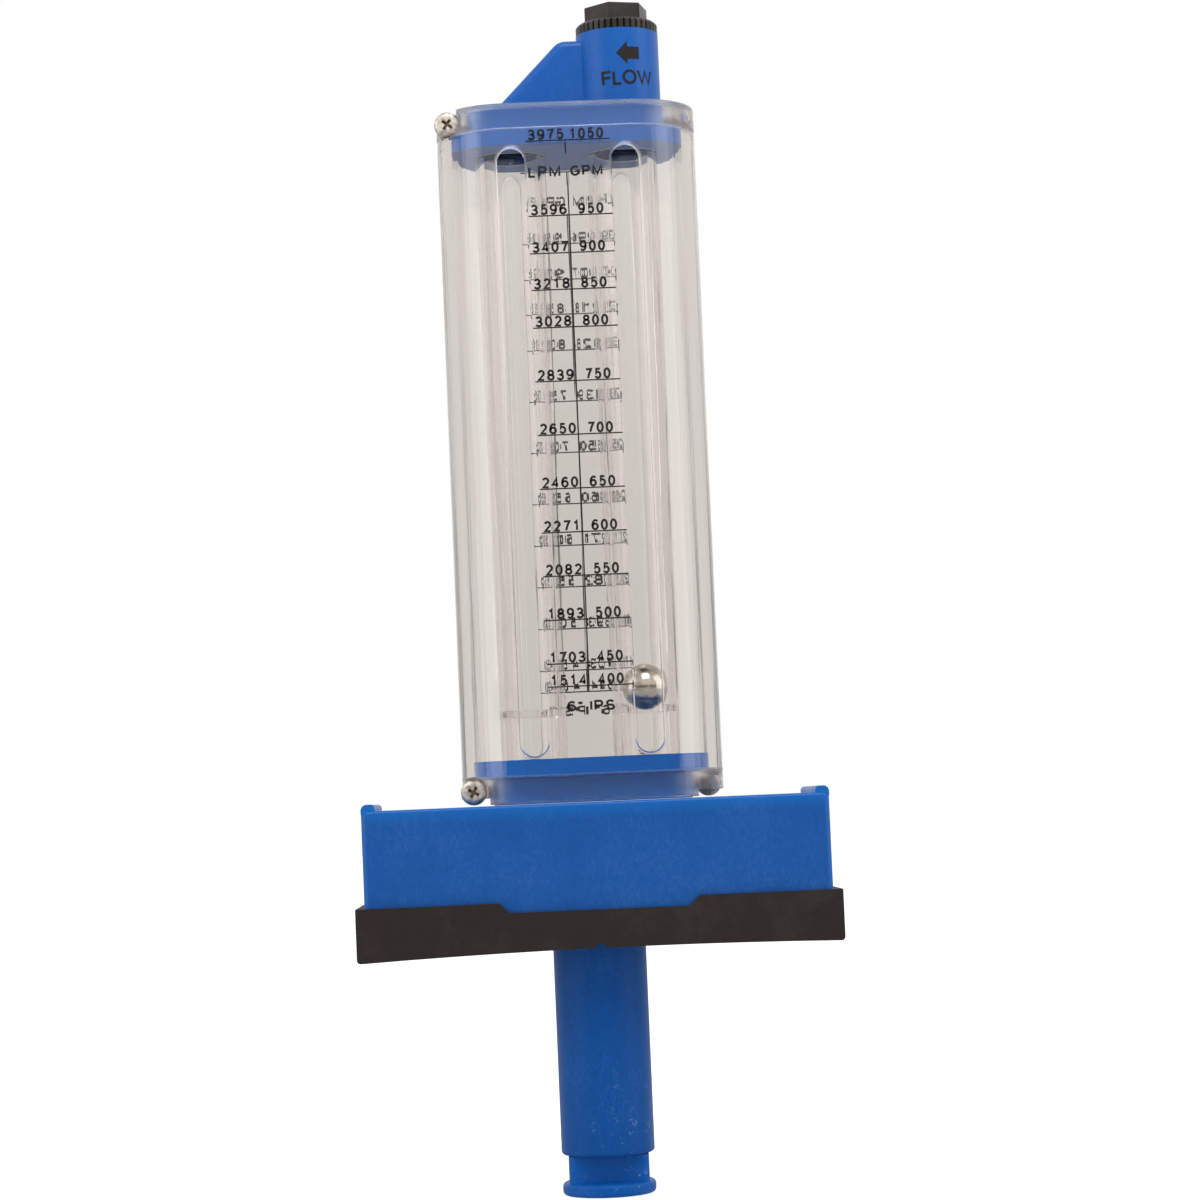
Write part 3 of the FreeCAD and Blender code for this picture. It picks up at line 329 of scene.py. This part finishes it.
def slot_frost(tree, along, low, high):
    """1 on the edges of the viewing slots, strongest at their upper ends and gone along their sides."""
    half = (high - low) / 2
    from_middle = apart(tree, along["Z"], (low + high) / 2)
    past_end = combined(tree, "MAXIMUM", combined(tree, "SUBTRACT", from_middle, half - SLOT_RADIUS))
    slot_x = (sum(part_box("float_ball"), Vector()) / 2).x
    beside = combined(tree, "SUBTRACT", combined(tree, "ABSOLUTE", along["X"]), slot_x)
    off_edge = apart(tree, distance(tree, past_end, beside), SLOT_RADIUS + FROST_WIDTH / 2)
    frost = ranged(tree, off_edge, FROST_WIDTH * 0.6, FROST_WIDTH, 1.0, 0.0)
    near_end = ranged(tree, from_middle, half - SLOT_FADE, half, 0.0, 1.0)
    rising = ranged(tree, along["Z"], low, high, SLOT_LOWER_FROST, 1.0)
    frost = combined(tree, "MULTIPLY", frost, combined(tree, "MULTIPLY", near_end, rising))
    return frost, from_middle


def edge_frost(tree, where):
    """1 along the slots' ends, the rims and the inner corners, where the mould isn't polished, else 0."""
    shell_low, shell_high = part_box("front_shell")
    plate_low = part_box("lower_fitting")[1].z
    plate_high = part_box("top_fitting")[0].z
    along = axes_of(tree, where)
    slot_low = plate_low + SLOT_LOWER_MARGIN
    slot_high = plate_high - SLOT_UPPER_MARGIN
    frost, from_middle = slot_frost(tree, along, slot_low, slot_high)
    inside = ranged(tree, combined(tree, "ABSOLUTE", along["Y"]), *RIM_INSIDE, 1.0, 0.0)
    for level, mask in ((shell_low.z, 1.0), (shell_high.z, 1.0),
                        (plate_low - PLATE_THICKNESS, inside), (plate_high + PLATE_THICKNESS, inside)):
        line = ranged(tree, apart(tree, along["Z"], level), FROST_WIDTH * 0.8, FROST_WIDTH * 1.2, 1.0, 0.0)
        frost = combined(tree, "MAXIMUM", frost, combined(tree, "MULTIPLY", line, mask))
    beyond = combined(tree, "SUBTRACT", from_middle, (plate_high - plate_low) / 2 + PLATE_THICKNESS)
    haze = ranged(tree, beyond, 0.0, FROST_WIDTH, 0.0, FLANGE_HAZE)
    frost = combined(tree, "MAXIMUM", frost, haze)
    return combined(tree, "MAXIMUM", frost, hole_frost(tree, along))


def make_clear(name, line_strength, slotted):
    """Clear plastic that refracts, absorbs inside and lets the lamps' shadow rays through."""
    material, tree, shader, where = new_material(name)
    shader.inputs["Base Color"].default_value = (0.985, 0.98, 0.975, 1)
    shader.inputs["Transmission Weight"].default_value = 1.0
    shader.inputs["IOR"].default_value = 1.50
    lines = noise(tree, stretched(tree, where, (1.0, 1.0, 0.02)), 210.0, 3.0)
    polish = ranged(tree, lines, 0.35, 0.65, 0.0, DRAW_LINE_POLISH)
    if slotted:
        frost = combined(tree, "MULTIPLY", edge_frost(tree, where), FROST_ROUGHNESS)
        polish = combined(tree, "MAXIMUM", polish, frost)
    tree.links.new(polish, shader.inputs["Roughness"])
    bumped(tree, shader, lines, line_strength, 0.0004)
    open_to_lamps = tree.nodes.new("ShaderNodeBsdfTransparent")
    open_to_lamps.inputs["Color"].default_value = (0.90, 0.89, 0.88, 1)
    rays = tree.nodes.new("ShaderNodeLightPath")
    mix = tree.nodes.new("ShaderNodeMixShader")
    tree.links.new(rays.outputs["Is Shadow Ray"], mix.inputs[0])
    tree.links.new(shader.outputs[0], mix.inputs[1])
    tree.links.new(open_to_lamps.outputs[0], mix.inputs[2])
    inside = tree.nodes.new("ShaderNodeVolumeAbsorption")
    inside.inputs["Color"].default_value = CLEAR_TINT
    inside.inputs["Density"].default_value = CLEAR_DENSITY
    out = tree.nodes["Material Output"]
    tree.links.new(mix.outputs[0], out.inputs["Surface"])
    tree.links.new(inside.outputs[0], out.inputs["Volume"])
    return material


dress(["front_shell", "back_shell"], make_clear("clear_shell", 0.30, True))
dress(["metering_tube", "return_tube"], make_clear("clear_tube", 0.20, False))

# ---- The screws ------------------------------------------------------------------------------------
# Four number 8 pan head screws of plain stainless steel hold the shells together, two from each side.
# The heads are bright and a little warm, their cross recesses are painted dark brown as shade, and the
# threads carry whitish cuttings of the clear plastic.

HEAD_RADIUS = 0.00395
HEAD_HEIGHT = 0.0029
HEAD_ROUND = 0.0014
CROWN_DISH = 0.00008
THREAD_PITCH = 0.00141
THREAD_CREST = 0.00206
THREAD_ROOT = 0.00160
THREAD_STEPS = 24
THREAD_PROFILE = [(0.0, THREAD_ROOT), (0.42, THREAD_ROOT), (0.66, THREAD_CREST), (0.78, THREAD_CREST)]
POINT_LENGTH = 0.0020
RECESS_REACH = 0.00200
RECESS_HALF = 0.00048
RECESS_DEPTH = 0.0012
RECESS_RINGS = [(-0.0004, 1.12), (RECESS_DEPTH, 0.55)]
HEAD_STEPS = 40
HARD_EDGE = math.radians(32)
SHANK_METAL = 0.4
RECESS_SHADE_BROWN = (0.20, 0.145, 0.095, 1)


def vector_sum(tree, operation, one, other=(0.0, 0.0, 0.0)):
    """The same for coordinates, with the outputs Vector and Value."""
    node = tree.nodes.new("ShaderNodeVectorMath")
    node.operation = operation
    connect(tree, node.inputs[0], one)
    connect(tree, node.inputs[1], other)
    return node.outputs


screw_steel, tree, shader, where = new_material("screw_steel")
upper = sum(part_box("front_upper_screw"), Vector()) / 2
lower = sum(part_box("front_lower_screw"), Vector()) / 2
shifted = vector_sum(tree, "SUBTRACT", where, (0.0, 0.0, (upper.z + lower.z) / 2))[0]
folded = vector_sum(tree, "ABSOLUTE", shifted)[0]
centred = vector_sum(tree, "SUBTRACT", folded, (-upper.x, 0.0, (upper.z - lower.z) / 2))[0]
flattened = vector_sum(tree, "MULTIPLY", centred, (1.0, 0.0, 1.0))[0]
off_axis = vector_sum(tree, "LENGTH", flattened)["Value"]
depth = axes_of(tree, centred)["Y"]
crown = -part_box("front_upper_screw")[0].y
seat = crown - HEAD_HEIGHT
# Painted shade: the cross recesses are coloured dark brown down in the head, where shade falls.
sunk = ranged(tree, depth, crown - RECESS_DEPTH * 0.7, crown - RECESS_DEPTH * 0.2, 1.0, 0.0)
within = ranged(tree, off_axis, RECESS_REACH, RECESS_REACH * 1.2, 1.0, 0.0)
in_head = ranged(tree, depth, seat, seat + HEAD_HEIGHT * 0.15, 0.0, 1.0)
recess_shade = combined(tree, "MULTIPLY", in_head, combined(tree, "MULTIPLY", sunk, within))
speckle = noise(tree, where, 700.0, 4.0)
bright = graded(tree, speckle, [(0.38, (0.38, 0.33, 0.27, 1)), (0.60, (0.68, 0.63, 0.55, 1))])
tree.links.new(mixed(tree, recess_shade, bright, RECESS_SHADE_BROWN), shader.inputs["Base Color"])
head_metal = combined(tree, "MULTIPLY", in_head, 1.0 - SHANK_METAL)
tree.links.new(combined(tree, "ADD", head_metal, SHANK_METAL), shader.inputs["Metallic"])
tree.links.new(ranged(tree, speckle, 0.3, 0.7, 0.38, 0.56), shader.inputs["Roughness"])
bumped(tree, shader, speckle, 0.12, 0.0001)


def add_head(bm):
    """A pan head turned about Z, its crown at zero and its seat above."""
    profile = [(0.0, CROWN_DISH), (HEAD_RADIUS * 0.45, 0.0)]
    for step in range(7):
        angle = math.radians(90 * step / 6)
        inset = HEAD_ROUND * (1 - math.sin(angle))
        profile.append((HEAD_RADIUS - inset, HEAD_ROUND * (1 - math.cos(angle))))
    profile += [(HEAD_RADIUS, HEAD_HEIGHT), (0.0, HEAD_HEIGHT)]
    points = [bm.verts.new((x, 0, z)) for x, z in profile]
    lines = [bm.edges.new(pair) for pair in zip(points, points[1:])]
    bmesh.ops.spin(bm, geom=points + lines, cent=(0, 0, 0), axis=(0, 0, 1), angle=math.tau,
                   steps=HEAD_STEPS, use_merge=True)


def add_thread(bm, start, end):
    """A threaded shank: every column of the grid begins a little higher, so that its rows climb."""
    rows = len(THREAD_PROFILE)
    count = rows * (int((end - start) / THREAD_PITCH) + 3)
    columns = []
    for i in range(THREAD_STEPS):
        angle = math.tau * i / THREAD_STEPS
        column = []
        for k in range(-rows, count):
            share, radius = THREAD_PROFILE[k % rows]
            z = min(max(start + THREAD_PITCH * (k // rows + share + i / THREAD_STEPS), start), end)
            radius *= min(1.0, (end - z) / POINT_LENGTH, (z - start) / (THREAD_PITCH / rows))
            column.append(bm.verts.new((radius * math.cos(angle), radius * math.sin(angle), z)))
        columns.append(column)
    for i, column in enumerate(columns):
        following = columns[i + 1] if i + 1 < THREAD_STEPS else columns[0][rows:]
        for k in range(len(following) - 1):
            if k + 1 < len(column):
                bm.faces.new((column[k], following[k], following[k + 1], column[k + 1]))


def add_recess_cutter(bm):
    """A cross whose arms narrow downwards, for cutting into the head."""
    rings = []
    for z, shrink in RECESS_RINGS:
        reach = RECESS_REACH * shrink
        half = RECESS_HALF * (0.5 + shrink / 2)
        corners = [(reach, -half), (reach, half), (half, half), (half, reach),
                   (-half, reach), (-half, half), (-reach, half), (-reach, -half),
                   (-half, -half), (-half, -reach), (half, -reach), (half, -half)]
        rings.append([bm.verts.new((x, y, z)) for x, y in corners])
    top, bottom = rings
    bm.faces.new(top)
    bm.faces.new(bottom)
    for i in range(len(top)):
        j = (i + 1) % len(top)
        bm.faces.new((top[i], top[j], bottom[j], bottom[i]))


def mesh_of(name, fill):
    """A closed mesh made by the given function, its seams merged and its normals outward."""
    bm = bmesh.new()
    fill(bm)
    bmesh.ops.remove_doubles(bm, verts=bm.verts, dist=1e-7)
    bmesh.ops.dissolve_degenerate(bm, edges=bm.edges, dist=1e-8)
    bmesh.ops.recalc_face_normals(bm, faces=bm.faces)
    mesh = bpy.data.meshes.new(name)
    bm.to_mesh(mesh)
    bm.free()
    return mesh


def make_screw(node, twist):
    """One screw, its recessed head and its threaded shank, put in place of its plain solid."""
    box_low, box_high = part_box(node)
    from_back = box_low.y + box_high.y > 0
    length = box_high.y - box_low.y
    head = bpy.data.objects.new("head", mesh_of("head", add_head))
    cutter = bpy.data.objects.new("cutter", mesh_of("cutter", add_recess_cutter))
    for helper in (head, cutter):
        scene.collection.objects.link(helper)
    cut = head.modifiers.new("recess", "BOOLEAN")
    cut.object = cutter
    cut.solver = "EXACT"
    bpy.context.view_layer.update()
    mesh = bpy.data.meshes.new_from_object(head.evaluated_get(bpy.context.evaluated_depsgraph_get()))
    for helper in (head, cutter):
        bpy.data.objects.remove(helper)
    shank = mesh_of("shank", lambda bm: add_thread(bm, HEAD_HEIGHT * 0.8, length))
    bm = bmesh.new()
    bm.from_mesh(mesh)
    bm.from_mesh(shank)
    crown = Vector(((box_low.x + box_high.x) / 2, box_high.y if from_back else box_low.y,
                    (box_low.z + box_high.z) / 2))
    inward = Euler((math.radians(90 if from_back else -90), 0, 0)).to_matrix().to_4x4()
    spin = Matrix.Rotation(math.radians(twist), 4, "Z")
    bmesh.ops.transform(bm, matrix=Matrix.Translation(crown) @ inward @ spin, verts=bm.verts)
    mesh = bpy.data.meshes.new("threaded_" + node)
    bm.to_mesh(mesh)
    bm.free()
    mesh.shade_smooth()
    mesh.set_sharp_from_angle(angle=HARD_EDGE)
    mesh.materials.append(screw_steel)
    piece = bpy.data.objects.new("threaded_" + node, mesh)
    scene.collection.objects.link(piece)
    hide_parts(node)
    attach(piece, "meter_body")


for node, twist in (("front_upper_screw", 36), ("front_lower_screw", 28),
                    ("back_upper_screw", 42), ("back_lower_screw", 58)):
    make_screw(node, twist)

# ---- The printed scale -----------------------------------------------------------------------------
# Litres and gallons a minute are screen printed in black ink on the flat front of the clear body.
# Each figure pair stands on its own line at the height of the ball's middle. The back carries the same.

MARKS = [(0.2412, "3975", "1050"), (0.2181, "3596", "950"), (0.2066, "3407", "900"),
         (0.1954, "3218", "850"), (0.18385, "3028", "800"), (0.16745, "2839", "750"),
         (0.1511, "2650", "700"), (0.13475, "2460", "650"), (0.1215, "2271", "600"),
         (0.1083, "2082", "550"), (0.0950, "1893", "500"), (0.0818, "1703", "450"),
         (0.0749, "1514", "400")]
DIGIT_HEIGHT = 0.00340
DIGIT_RISE = 0.00022
LINE_LEFT = -0.0127
LINE_RIGHT = 0.0130
LINE_THICKNESS = 0.00040
FIGURE_WEIGHT = 0.00068
LITRES = (-0.0120, -0.0010)
GALLONS = {3: (0.0024, 0.0102), 4: (0.00065, 0.0111)}
LITRES_UNIT = ("LPM", -0.01225, -0.00244, 0.2299, 0.2334)
GALLONS_UNIT = ("GPM", 0.0005, 0.0104, 0.2300, 0.2333)
PIPE_SIZE = ('6" IPS', -0.0073, 0.0072, 0.0673, 0.07055)
CENTRE_LINE_X = -0.00035
CENTRE_LINE_TOP = 0.2276
UPPER_LINE_X = -0.00065
UPPER_LINE_FOOT = 0.2371
INK_PROUD = 0.00003
INK_THICKNESS = 0.00002
ARC_STEP = 22

ink, tree, shader, where = new_material("printing_ink")
patchy = noise(tree, where, 1500.0, 3.0)
tree.links.new(graded(tree, patchy, [(0.3, (0.006, 0.005, 0.005, 1)), (0.75, (0.022, 0.019, 0.017, 1))]),
               shader.inputs["Base Color"])
tree.links.new(ranged(tree, patchy, 0.3, 0.7, 0.45, 0.65), shader.inputs["Roughness"])
shader.inputs["Specular IOR Level"].default_value = 0.2
bumped(tree, shader, patchy, 0.10, 0.00002)


def arc(x, y, wide, tall, start, end):
    """Points along part of an oval, in degrees from the right."""
    count = max(3, round(abs(end - start) / ARC_STEP))
    angles = [math.radians(start + (end - start) * i / count) for i in range(count + 1)]
    return [(x + wide * math.cos(a), y + tall * math.sin(a)) for a in angles]


# Each sign is its width, for a height of 1, and the middle lines of its strokes in a unit square.
SIGNS = {
    "0": (0.66, [arc(0.5, 0.5, 0.5, 0.5, 90, 450)]),
    "1": (0.66, [[(0.16, 0.76), (0.40, 0.86), (0.60, 1.0), (0.60, 0.0)]]),
    "2": (0.66, [arc(0.5, 0.71, 0.47, 0.29, 165, -25) + [(0.04, 0.0), (1.0, 0.0)]]),
    "3": (0.66, [arc(0.46, 0.75, 0.44, 0.25, 160, -90) + arc(0.46, 0.25, 0.52, 0.25, 88, -160)]),
    "4": (0.66, [[(0.74, 0.0), (0.74, 1.0), (0.0, 0.27), (1.0, 0.27)]]),
    "5": (0.66, [[(0.92, 1.0), (0.22, 1.0), (0.10, 0.50)] + arc(0.48, 0.33, 0.50, 0.33, 128, -155)]),
    "6": (0.66, [arc(0.5, 0.31, 0.5, 0.31, 180, -180) + arc(0.58, 0.46, 0.58, 0.54, 180, 48)]),
    "7": (0.66, [[(0.0, 1.0), (1.0, 1.0), (0.62, 0.52), (0.36, 0.0)]]),
    "8": (0.66, [arc(0.5, 0.76, 0.43, 0.24, 90, 450), arc(0.5, 0.26, 0.5, 0.26, 90, 450)]),
    "9": (0.66, [arc(0.5, 0.69, 0.5, 0.31, 0, 360) + arc(0.42, 0.54, 0.58, 0.54, 0, -132)]),
    "L": (0.58, [[(0.0, 1.0), (0.0, 0.0), (1.0, 0.0)]]),
    "P": (0.66, [[(0.0, 0.0), (0.0, 1.0), (0.6, 1.0)] + arc(0.6, 0.73, 0.4, 0.27, 80, -80)
                 + [(0.6, 0.46), (0.0, 0.46)]]),
    "M": (0.84, [[(0.0, 0.0), (0.0, 1.0), (0.5, 0.06), (1.0, 1.0), (1.0, 0.0)]]),
    "G": (0.80, [arc(0.5, 0.5, 0.5, 0.5, 42, 325) + [(1.0, 0.2), (1.0, 0.46), (0.56, 0.46)]]),
    "F": (0.66, [[(0.0, 0.0), (0.0, 1.0), (1.0, 1.0)], [(0.0, 0.53), (0.92, 0.53)]]),
    "O": (0.90, [arc(0.5, 0.5, 0.5, 0.5, 90, 450)]),
    "W": (1.16, [[(0.0, 1.0), (0.26, 0.0), (0.5, 0.96), (0.74, 0.0), (1.0, 1.0)]]),
    "I": (0.14, [[(0.5, 0.0), (0.5, 1.0)]]),
    "S": (0.68, [arc(0.5, 0.745, 0.45, 0.255, 25, 268) + arc(0.5, 0.255, 0.5, 0.255, 88, -158)]),
    '"': (0.32, [[(0.0, 1.0), (0.0, 0.70)], [(1.0, 1.0), (1.0, 0.70)]]),
    " ": (0.20, []),
}
LETTER_GAP = 0.17
LONGEST_MITRE = 1.9
CLOSED_GAP = 0.1


def add_stroke(bm, points, weight):
    """A flat ribbon of even width in the XZ plane along a line of points."""
    points = [Vector((x, 0, z)) for x, z in points]
    closed = (points[0] - points[-1]).length < weight * CLOSED_GAP
    if closed:
        points = points[:-1]
    edges = []
    for i, point in enumerate(points):
        before = points[i - 1] if i or closed else point
        after = points[(i + 1) % len(points)] if closed or i + 1 < len(points) else point
        sides = [side.normalized() for side in (point - before, after - point) if side.length > 0]
        normals = [Vector((-side.z, 0, side.x)) for side in sides]
        across = sum(normals, Vector()).normalized()
        reach = min(1.0 / max(across.dot(normals[0]), 0.01), LONGEST_MITRE) * weight / 2
        edges.append((bm.verts.new(point + across * reach), bm.verts.new(point - across * reach)))
    for i in range(len(edges) if closed else len(edges) - 1):
        one, other = edges[i], edges[(i + 1) % len(edges)]
        bm.faces.new((one[0], one[1], other[1], other[0]))


def add_lettering(bm, words, left, right, low, high, weight, gap=LETTER_GAP):
    """Signs of one stroke width in the XZ plane, fitted between four edges."""
    widths = [SIGNS[sign][0] for sign in words]
    grow = (right - left) / (sum(widths) + gap * (len(words) - 1))
    start = left
    for sign, width in zip(words, widths):
        inner = max(width * grow - weight, 0.0)
        for stroke in SIGNS[sign][1]:
            add_stroke(bm, [(start + weight / 2 + x * inner, low + weight / 2 + z * (high - low - weight))
                            for x, z in stroke], weight)
        start += (width + gap) * grow


def add_bar(bm, left, right, low, high):
    """A thin printed bar in the XZ plane."""
    made = bmesh.ops.create_grid(bm, x_segments=1, y_segments=1, size=0.5)
    turn = Matrix.Rotation(math.radians(90), 4, "X")
    grow = Matrix.Diagonal((right - left, 1, high - low, 1))
    place = Matrix.Translation(((left + right) / 2, 0, (low + high) / 2))
    bmesh.ops.transform(bm, matrix=place @ grow @ turn, verts=made["verts"])


def finish_print(name, bm, place, material):
    """Merges the flat print, gives it the ink's thickness, puts it in place and lets it ride."""
    bmesh.ops.remove_doubles(bm, verts=bm.verts, dist=1e-7)
    bmesh.ops.recalc_face_normals(bm, faces=bm.faces)
    for face in bm.faces:
        if face.normal.y > 0:
            face.normal_flip()
    bmesh.ops.solidify(bm, geom=bm.faces, thickness=INK_THICKNESS)
    place(bm)
    mesh = bpy.data.meshes.new(name)
    bm.to_mesh(mesh)
    bm.free()
    mesh.materials.append(material)
    piece = bpy.data.objects.new(name, mesh)
    scene.collection.objects.link(piece)
    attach(piece, "meter_body")
    return piece


def print_scale(name, turned):
    """The whole scale on the front face, or turned half round the meter onto the back face."""
    bm = bmesh.new()
    half = LINE_THICKNESS / 2
    for level, litres, gallons in MARKS:
        foot = level + DIGIT_RISE
        head = foot + DIGIT_HEIGHT
        add_lettering(bm, litres, *LITRES, foot, head, FIGURE_WEIGHT)
        add_lettering(bm, gallons, *GALLONS[len(gallons)], foot, head, FIGURE_WEIGHT)
        add_bar(bm, LINE_LEFT, LINE_RIGHT, level - half, level + half)
    add_bar(bm, UPPER_LINE_X - half, UPPER_LINE_X + half, UPPER_LINE_FOOT, MARKS[0][0])
    add_bar(bm, CENTRE_LINE_X - half, CENTRE_LINE_X + half, MARKS[-1][0], CENTRE_LINE_TOP)
    for words in (LITRES_UNIT, GALLONS_UNIT, PIPE_SIZE):
        add_lettering(bm, *words, FIGURE_WEIGHT)
    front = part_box("front_shell")[0].y
    turn = Matrix.Rotation(math.pi if turned else 0.0, 4, "Z")

    def place(bm):
        shift = Matrix.Translation((0, front - INK_PROUD, 0))
        bmesh.ops.transform(bm, matrix=turn @ shift, verts=bm.verts)

    finish_print(name, bm, place, ink)


print_scale("front_scale_print", False)
print_scale("back_scale_print", True)

# ---- The hexagon plug ------------------------------------------------------------------------------
# A black plug with a hexagon head and a toothed rim closes the top of the metering tube.
# It is moulded in glass filled plastic, so that the skin is brownish black, dense and half glossy.

plug_black, tree, shader, where = new_material("black_plug_plastic")
smear = noise(tree, where, 120.0, 5.0, 0.65)
tree.links.new(graded(tree, smear, [(0.35, (0.008, 0.0065, 0.006, 1)), (0.72, (0.034, 0.028, 0.025, 1))]),
               shader.inputs["Base Color"])
tree.links.new(ranged(tree, smear, 0.3, 0.7, 0.28, 0.46), shader.inputs["Roughness"])
shader.inputs["Specular IOR Level"].default_value = 0.32
bumped(tree, shader, noise(tree, where, 800.0, 3.0), 0.15, 0.0001)
dress(["hex_plug"], plug_black)

# ---- The flow mark on the tower --------------------------------------------------------------------
# A solid arrow that points with the flow, and the word under it, are printed in black on the tower.
# The ink follows the tower's round face, a little to the right of its front.

TOWER_X = (sum(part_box("hex_plug"), Vector()) / 2).x
TOWER_RADIUS = 0.01285
PRINT_TURN = math.radians(12.5)
PRINT_LEAN = math.radians(2.0)
WORD_LEVEL = 0.2631
WORD_WIDTH = 0.0172
WORD_FOOT = 0.26065
WORD_HEAD = 0.26535
WORD_WEIGHT = 0.00085
WORD_GAP = 0.02
ARROW_LEVEL = 0.2706
ARROW_LENGTH = 0.0074
ARROW_HEIGHT = 0.0073
ARROW_NECK_X = -0.0002
SHAFT_HEIGHT = 0.0039
WRAP_STEP = 0.0005

bm = bmesh.new()
add_lettering(bm, "FLOW", -WORD_WIDTH / 2, WORD_WIDTH / 2, WORD_FOOT, WORD_HEAD, WORD_WEIGHT, WORD_GAP)
lean = Matrix.Rotation(-PRINT_LEAN, 4, "Y")
bmesh.ops.rotate(bm, verts=bm.verts, cent=(0, 0, WORD_LEVEL), matrix=lean)
upper_half = [(-ARROW_LENGTH / 2, 0.0), (ARROW_NECK_X, ARROW_HEIGHT / 2),
              (ARROW_NECK_X, SHAFT_HEIGHT / 2), (ARROW_LENGTH / 2, SHAFT_HEIGHT / 2)]
corners = upper_half + [(x, -z) for x, z in reversed(upper_half[1:])]
bm.faces.new([bm.verts.new((x, 0, ARROW_LEVEL + z)) for x, z in corners])
for step in range(-15, 16):
    everything = bm.verts[:] + bm.edges[:] + bm.faces[:]
    bmesh.ops.bisect_plane(bm, geom=everything, dist=1e-7, plane_co=(step * WRAP_STEP, 0, 0),
                           plane_no=(1, 0, 0))


def wrap_round_tower(bm):
    """Bends the flat print round the tower."""
    for v in bm.verts:
        angle = PRINT_TURN + v.co.x / TOWER_RADIUS
        reach = TOWER_RADIUS + INK_PROUD - v.co.y
        v.co = Vector((TOWER_X + reach * math.sin(angle), -reach * math.cos(angle), v.co.z))


finish_print("flow_mark_print", bm, wrap_round_tower, ink)

# ---- The floor, the backdrop and the light ---------------------------------------------------------
# The meter stands on a plain white floor that only looks brighter than it is. A pale room lights it,
# with large soft lamps on both sides and one above. The room is dim in front at eye level and bright
# towards the ceiling, and the clear walls show it warmer and darker than the bare backdrop.

FLOOR_SIZE = 8.0
FLOOR_GAP = 0.0002
FLOOR_LIFT = 0.75
ROOM_LIGHT = 0.50
THROUGH_CLEAR = 0.70
THROUGH_TINT = (1.0, 0.945, 0.905, 1)
DARK_FRONT = 0.16
BRIGHT_CEILING = 1.1
LAMP_TARGET = Vector((0, 0, 0.16))

lowest = solid_box[0][2]
floor_mesh = bpy.data.meshes.new("floor")
bm = bmesh.new()
bmesh.ops.create_grid(bm, x_segments=1, y_segments=1, size=FLOOR_SIZE)
bmesh.ops.translate(bm, vec=(0, 0, lowest - FLOOR_GAP), verts=bm.verts)
bm.to_mesh(floor_mesh)
bm.free()
floor = bpy.data.objects.new("floor", floor_mesh)
scene.collection.objects.link(floor)
floor_white, tree, shader, where = new_material("white_floor")
shader.inputs["Base Color"].default_value = (0.80, 0.80, 0.80, 1)
shader.inputs["Roughness"].default_value = 0.9
shader.inputs["Specular IOR Level"].default_value = 0.1
glow = tree.nodes.new("ShaderNodeEmission")
rays = tree.nodes.new("ShaderNodeLightPath").outputs
tree.links.new(combined(tree, "MULTIPLY", rays["Is Camera Ray"], FLOOR_LIFT), glow.inputs["Strength"])
both = tree.nodes.new("ShaderNodeAddShader")
tree.links.new(shader.outputs[0], both.inputs[0])
tree.links.new(glow.outputs[0], both.inputs[1])
tree.links.new(both.outputs[0], tree.nodes["Material Output"].inputs["Surface"])
floor_mesh.materials.append(floor_white)

world = bpy.data.worlds.new("pale_room")
scene.world = world
world.use_nodes = True
tree = world.node_tree
room = tree.nodes["Background"]
rays = tree.nodes.new("ShaderNodeLightPath").outputs
towards = axes_of(tree, tree.nodes.new("ShaderNodeTexCoord").outputs["Generated"])


def chosen(rays_of_kind, other, strength):
    """The strength for one kind of ray, and the other strength for all the rest."""
    difference = combined(tree, "SUBTRACT", strength, other)
    return combined(tree, "ADD", other, combined(tree, "MULTIPLY", rays_of_kind, difference))


facing = ranged(tree, towards["Y"], -0.75, 0.10, 1.0, 0.0)
front = ranged(tree, towards["Z"], 0.06, 0.24, DARK_FRONT, BRIGHT_CEILING)
bounced = ranged(tree, rays["Glossy Depth"], 0.0, 1.0, 0.0, 1.0)
strength = chosen(rays["Is Glossy Ray"], ROOM_LIGHT, chosen(facing, 1.0, front))
through = chosen(combined(tree, "MULTIPLY", facing, bounced), THROUGH_CLEAR, front)
strength = chosen(rays["Is Transmission Ray"], strength, through)
strength = chosen(rays["Is Camera Ray"], strength, 1.0)
tree.links.new(strength, room.inputs["Strength"])
tint = mixed(tree, rays["Is Transmission Ray"], (1.0, 1.0, 1.0, 1), THROUGH_TINT)
tree.links.new(tint, room.inputs["Color"])

for name, place, width, height, power in (("left_strip", (-0.95, -0.45, 0.30), 0.60, 1.50, 4.5),
                                          ("right_strip", (0.95, -0.40, 0.30), 0.60, 1.50, 4.5),
                                          ("top_lamp", (0.05, -0.60, 0.95), 0.50, 0.50, 5.0)):
    data = bpy.data.lights.new(name, "AREA")
    data.shape = "RECTANGLE"
    data.size = width
    data.size_y = height
    data.energy = power
    lamp = bpy.data.objects.new(name, data)
    turn = (LAMP_TARGET - Vector(place)).to_track_quat("-Z", "Y").to_matrix().to_4x4()
    lamp.matrix_world = Matrix.Translation(place) @ turn
    scene.collection.objects.link(lamp)

scene.view_settings.view_transform = "Standard"
scene.cycles.max_bounces = 24
scene.cycles.transmission_bounces = 24
scene.cycles.glossy_bounces = 8
scene.cycles.transparent_max_bounces = 24
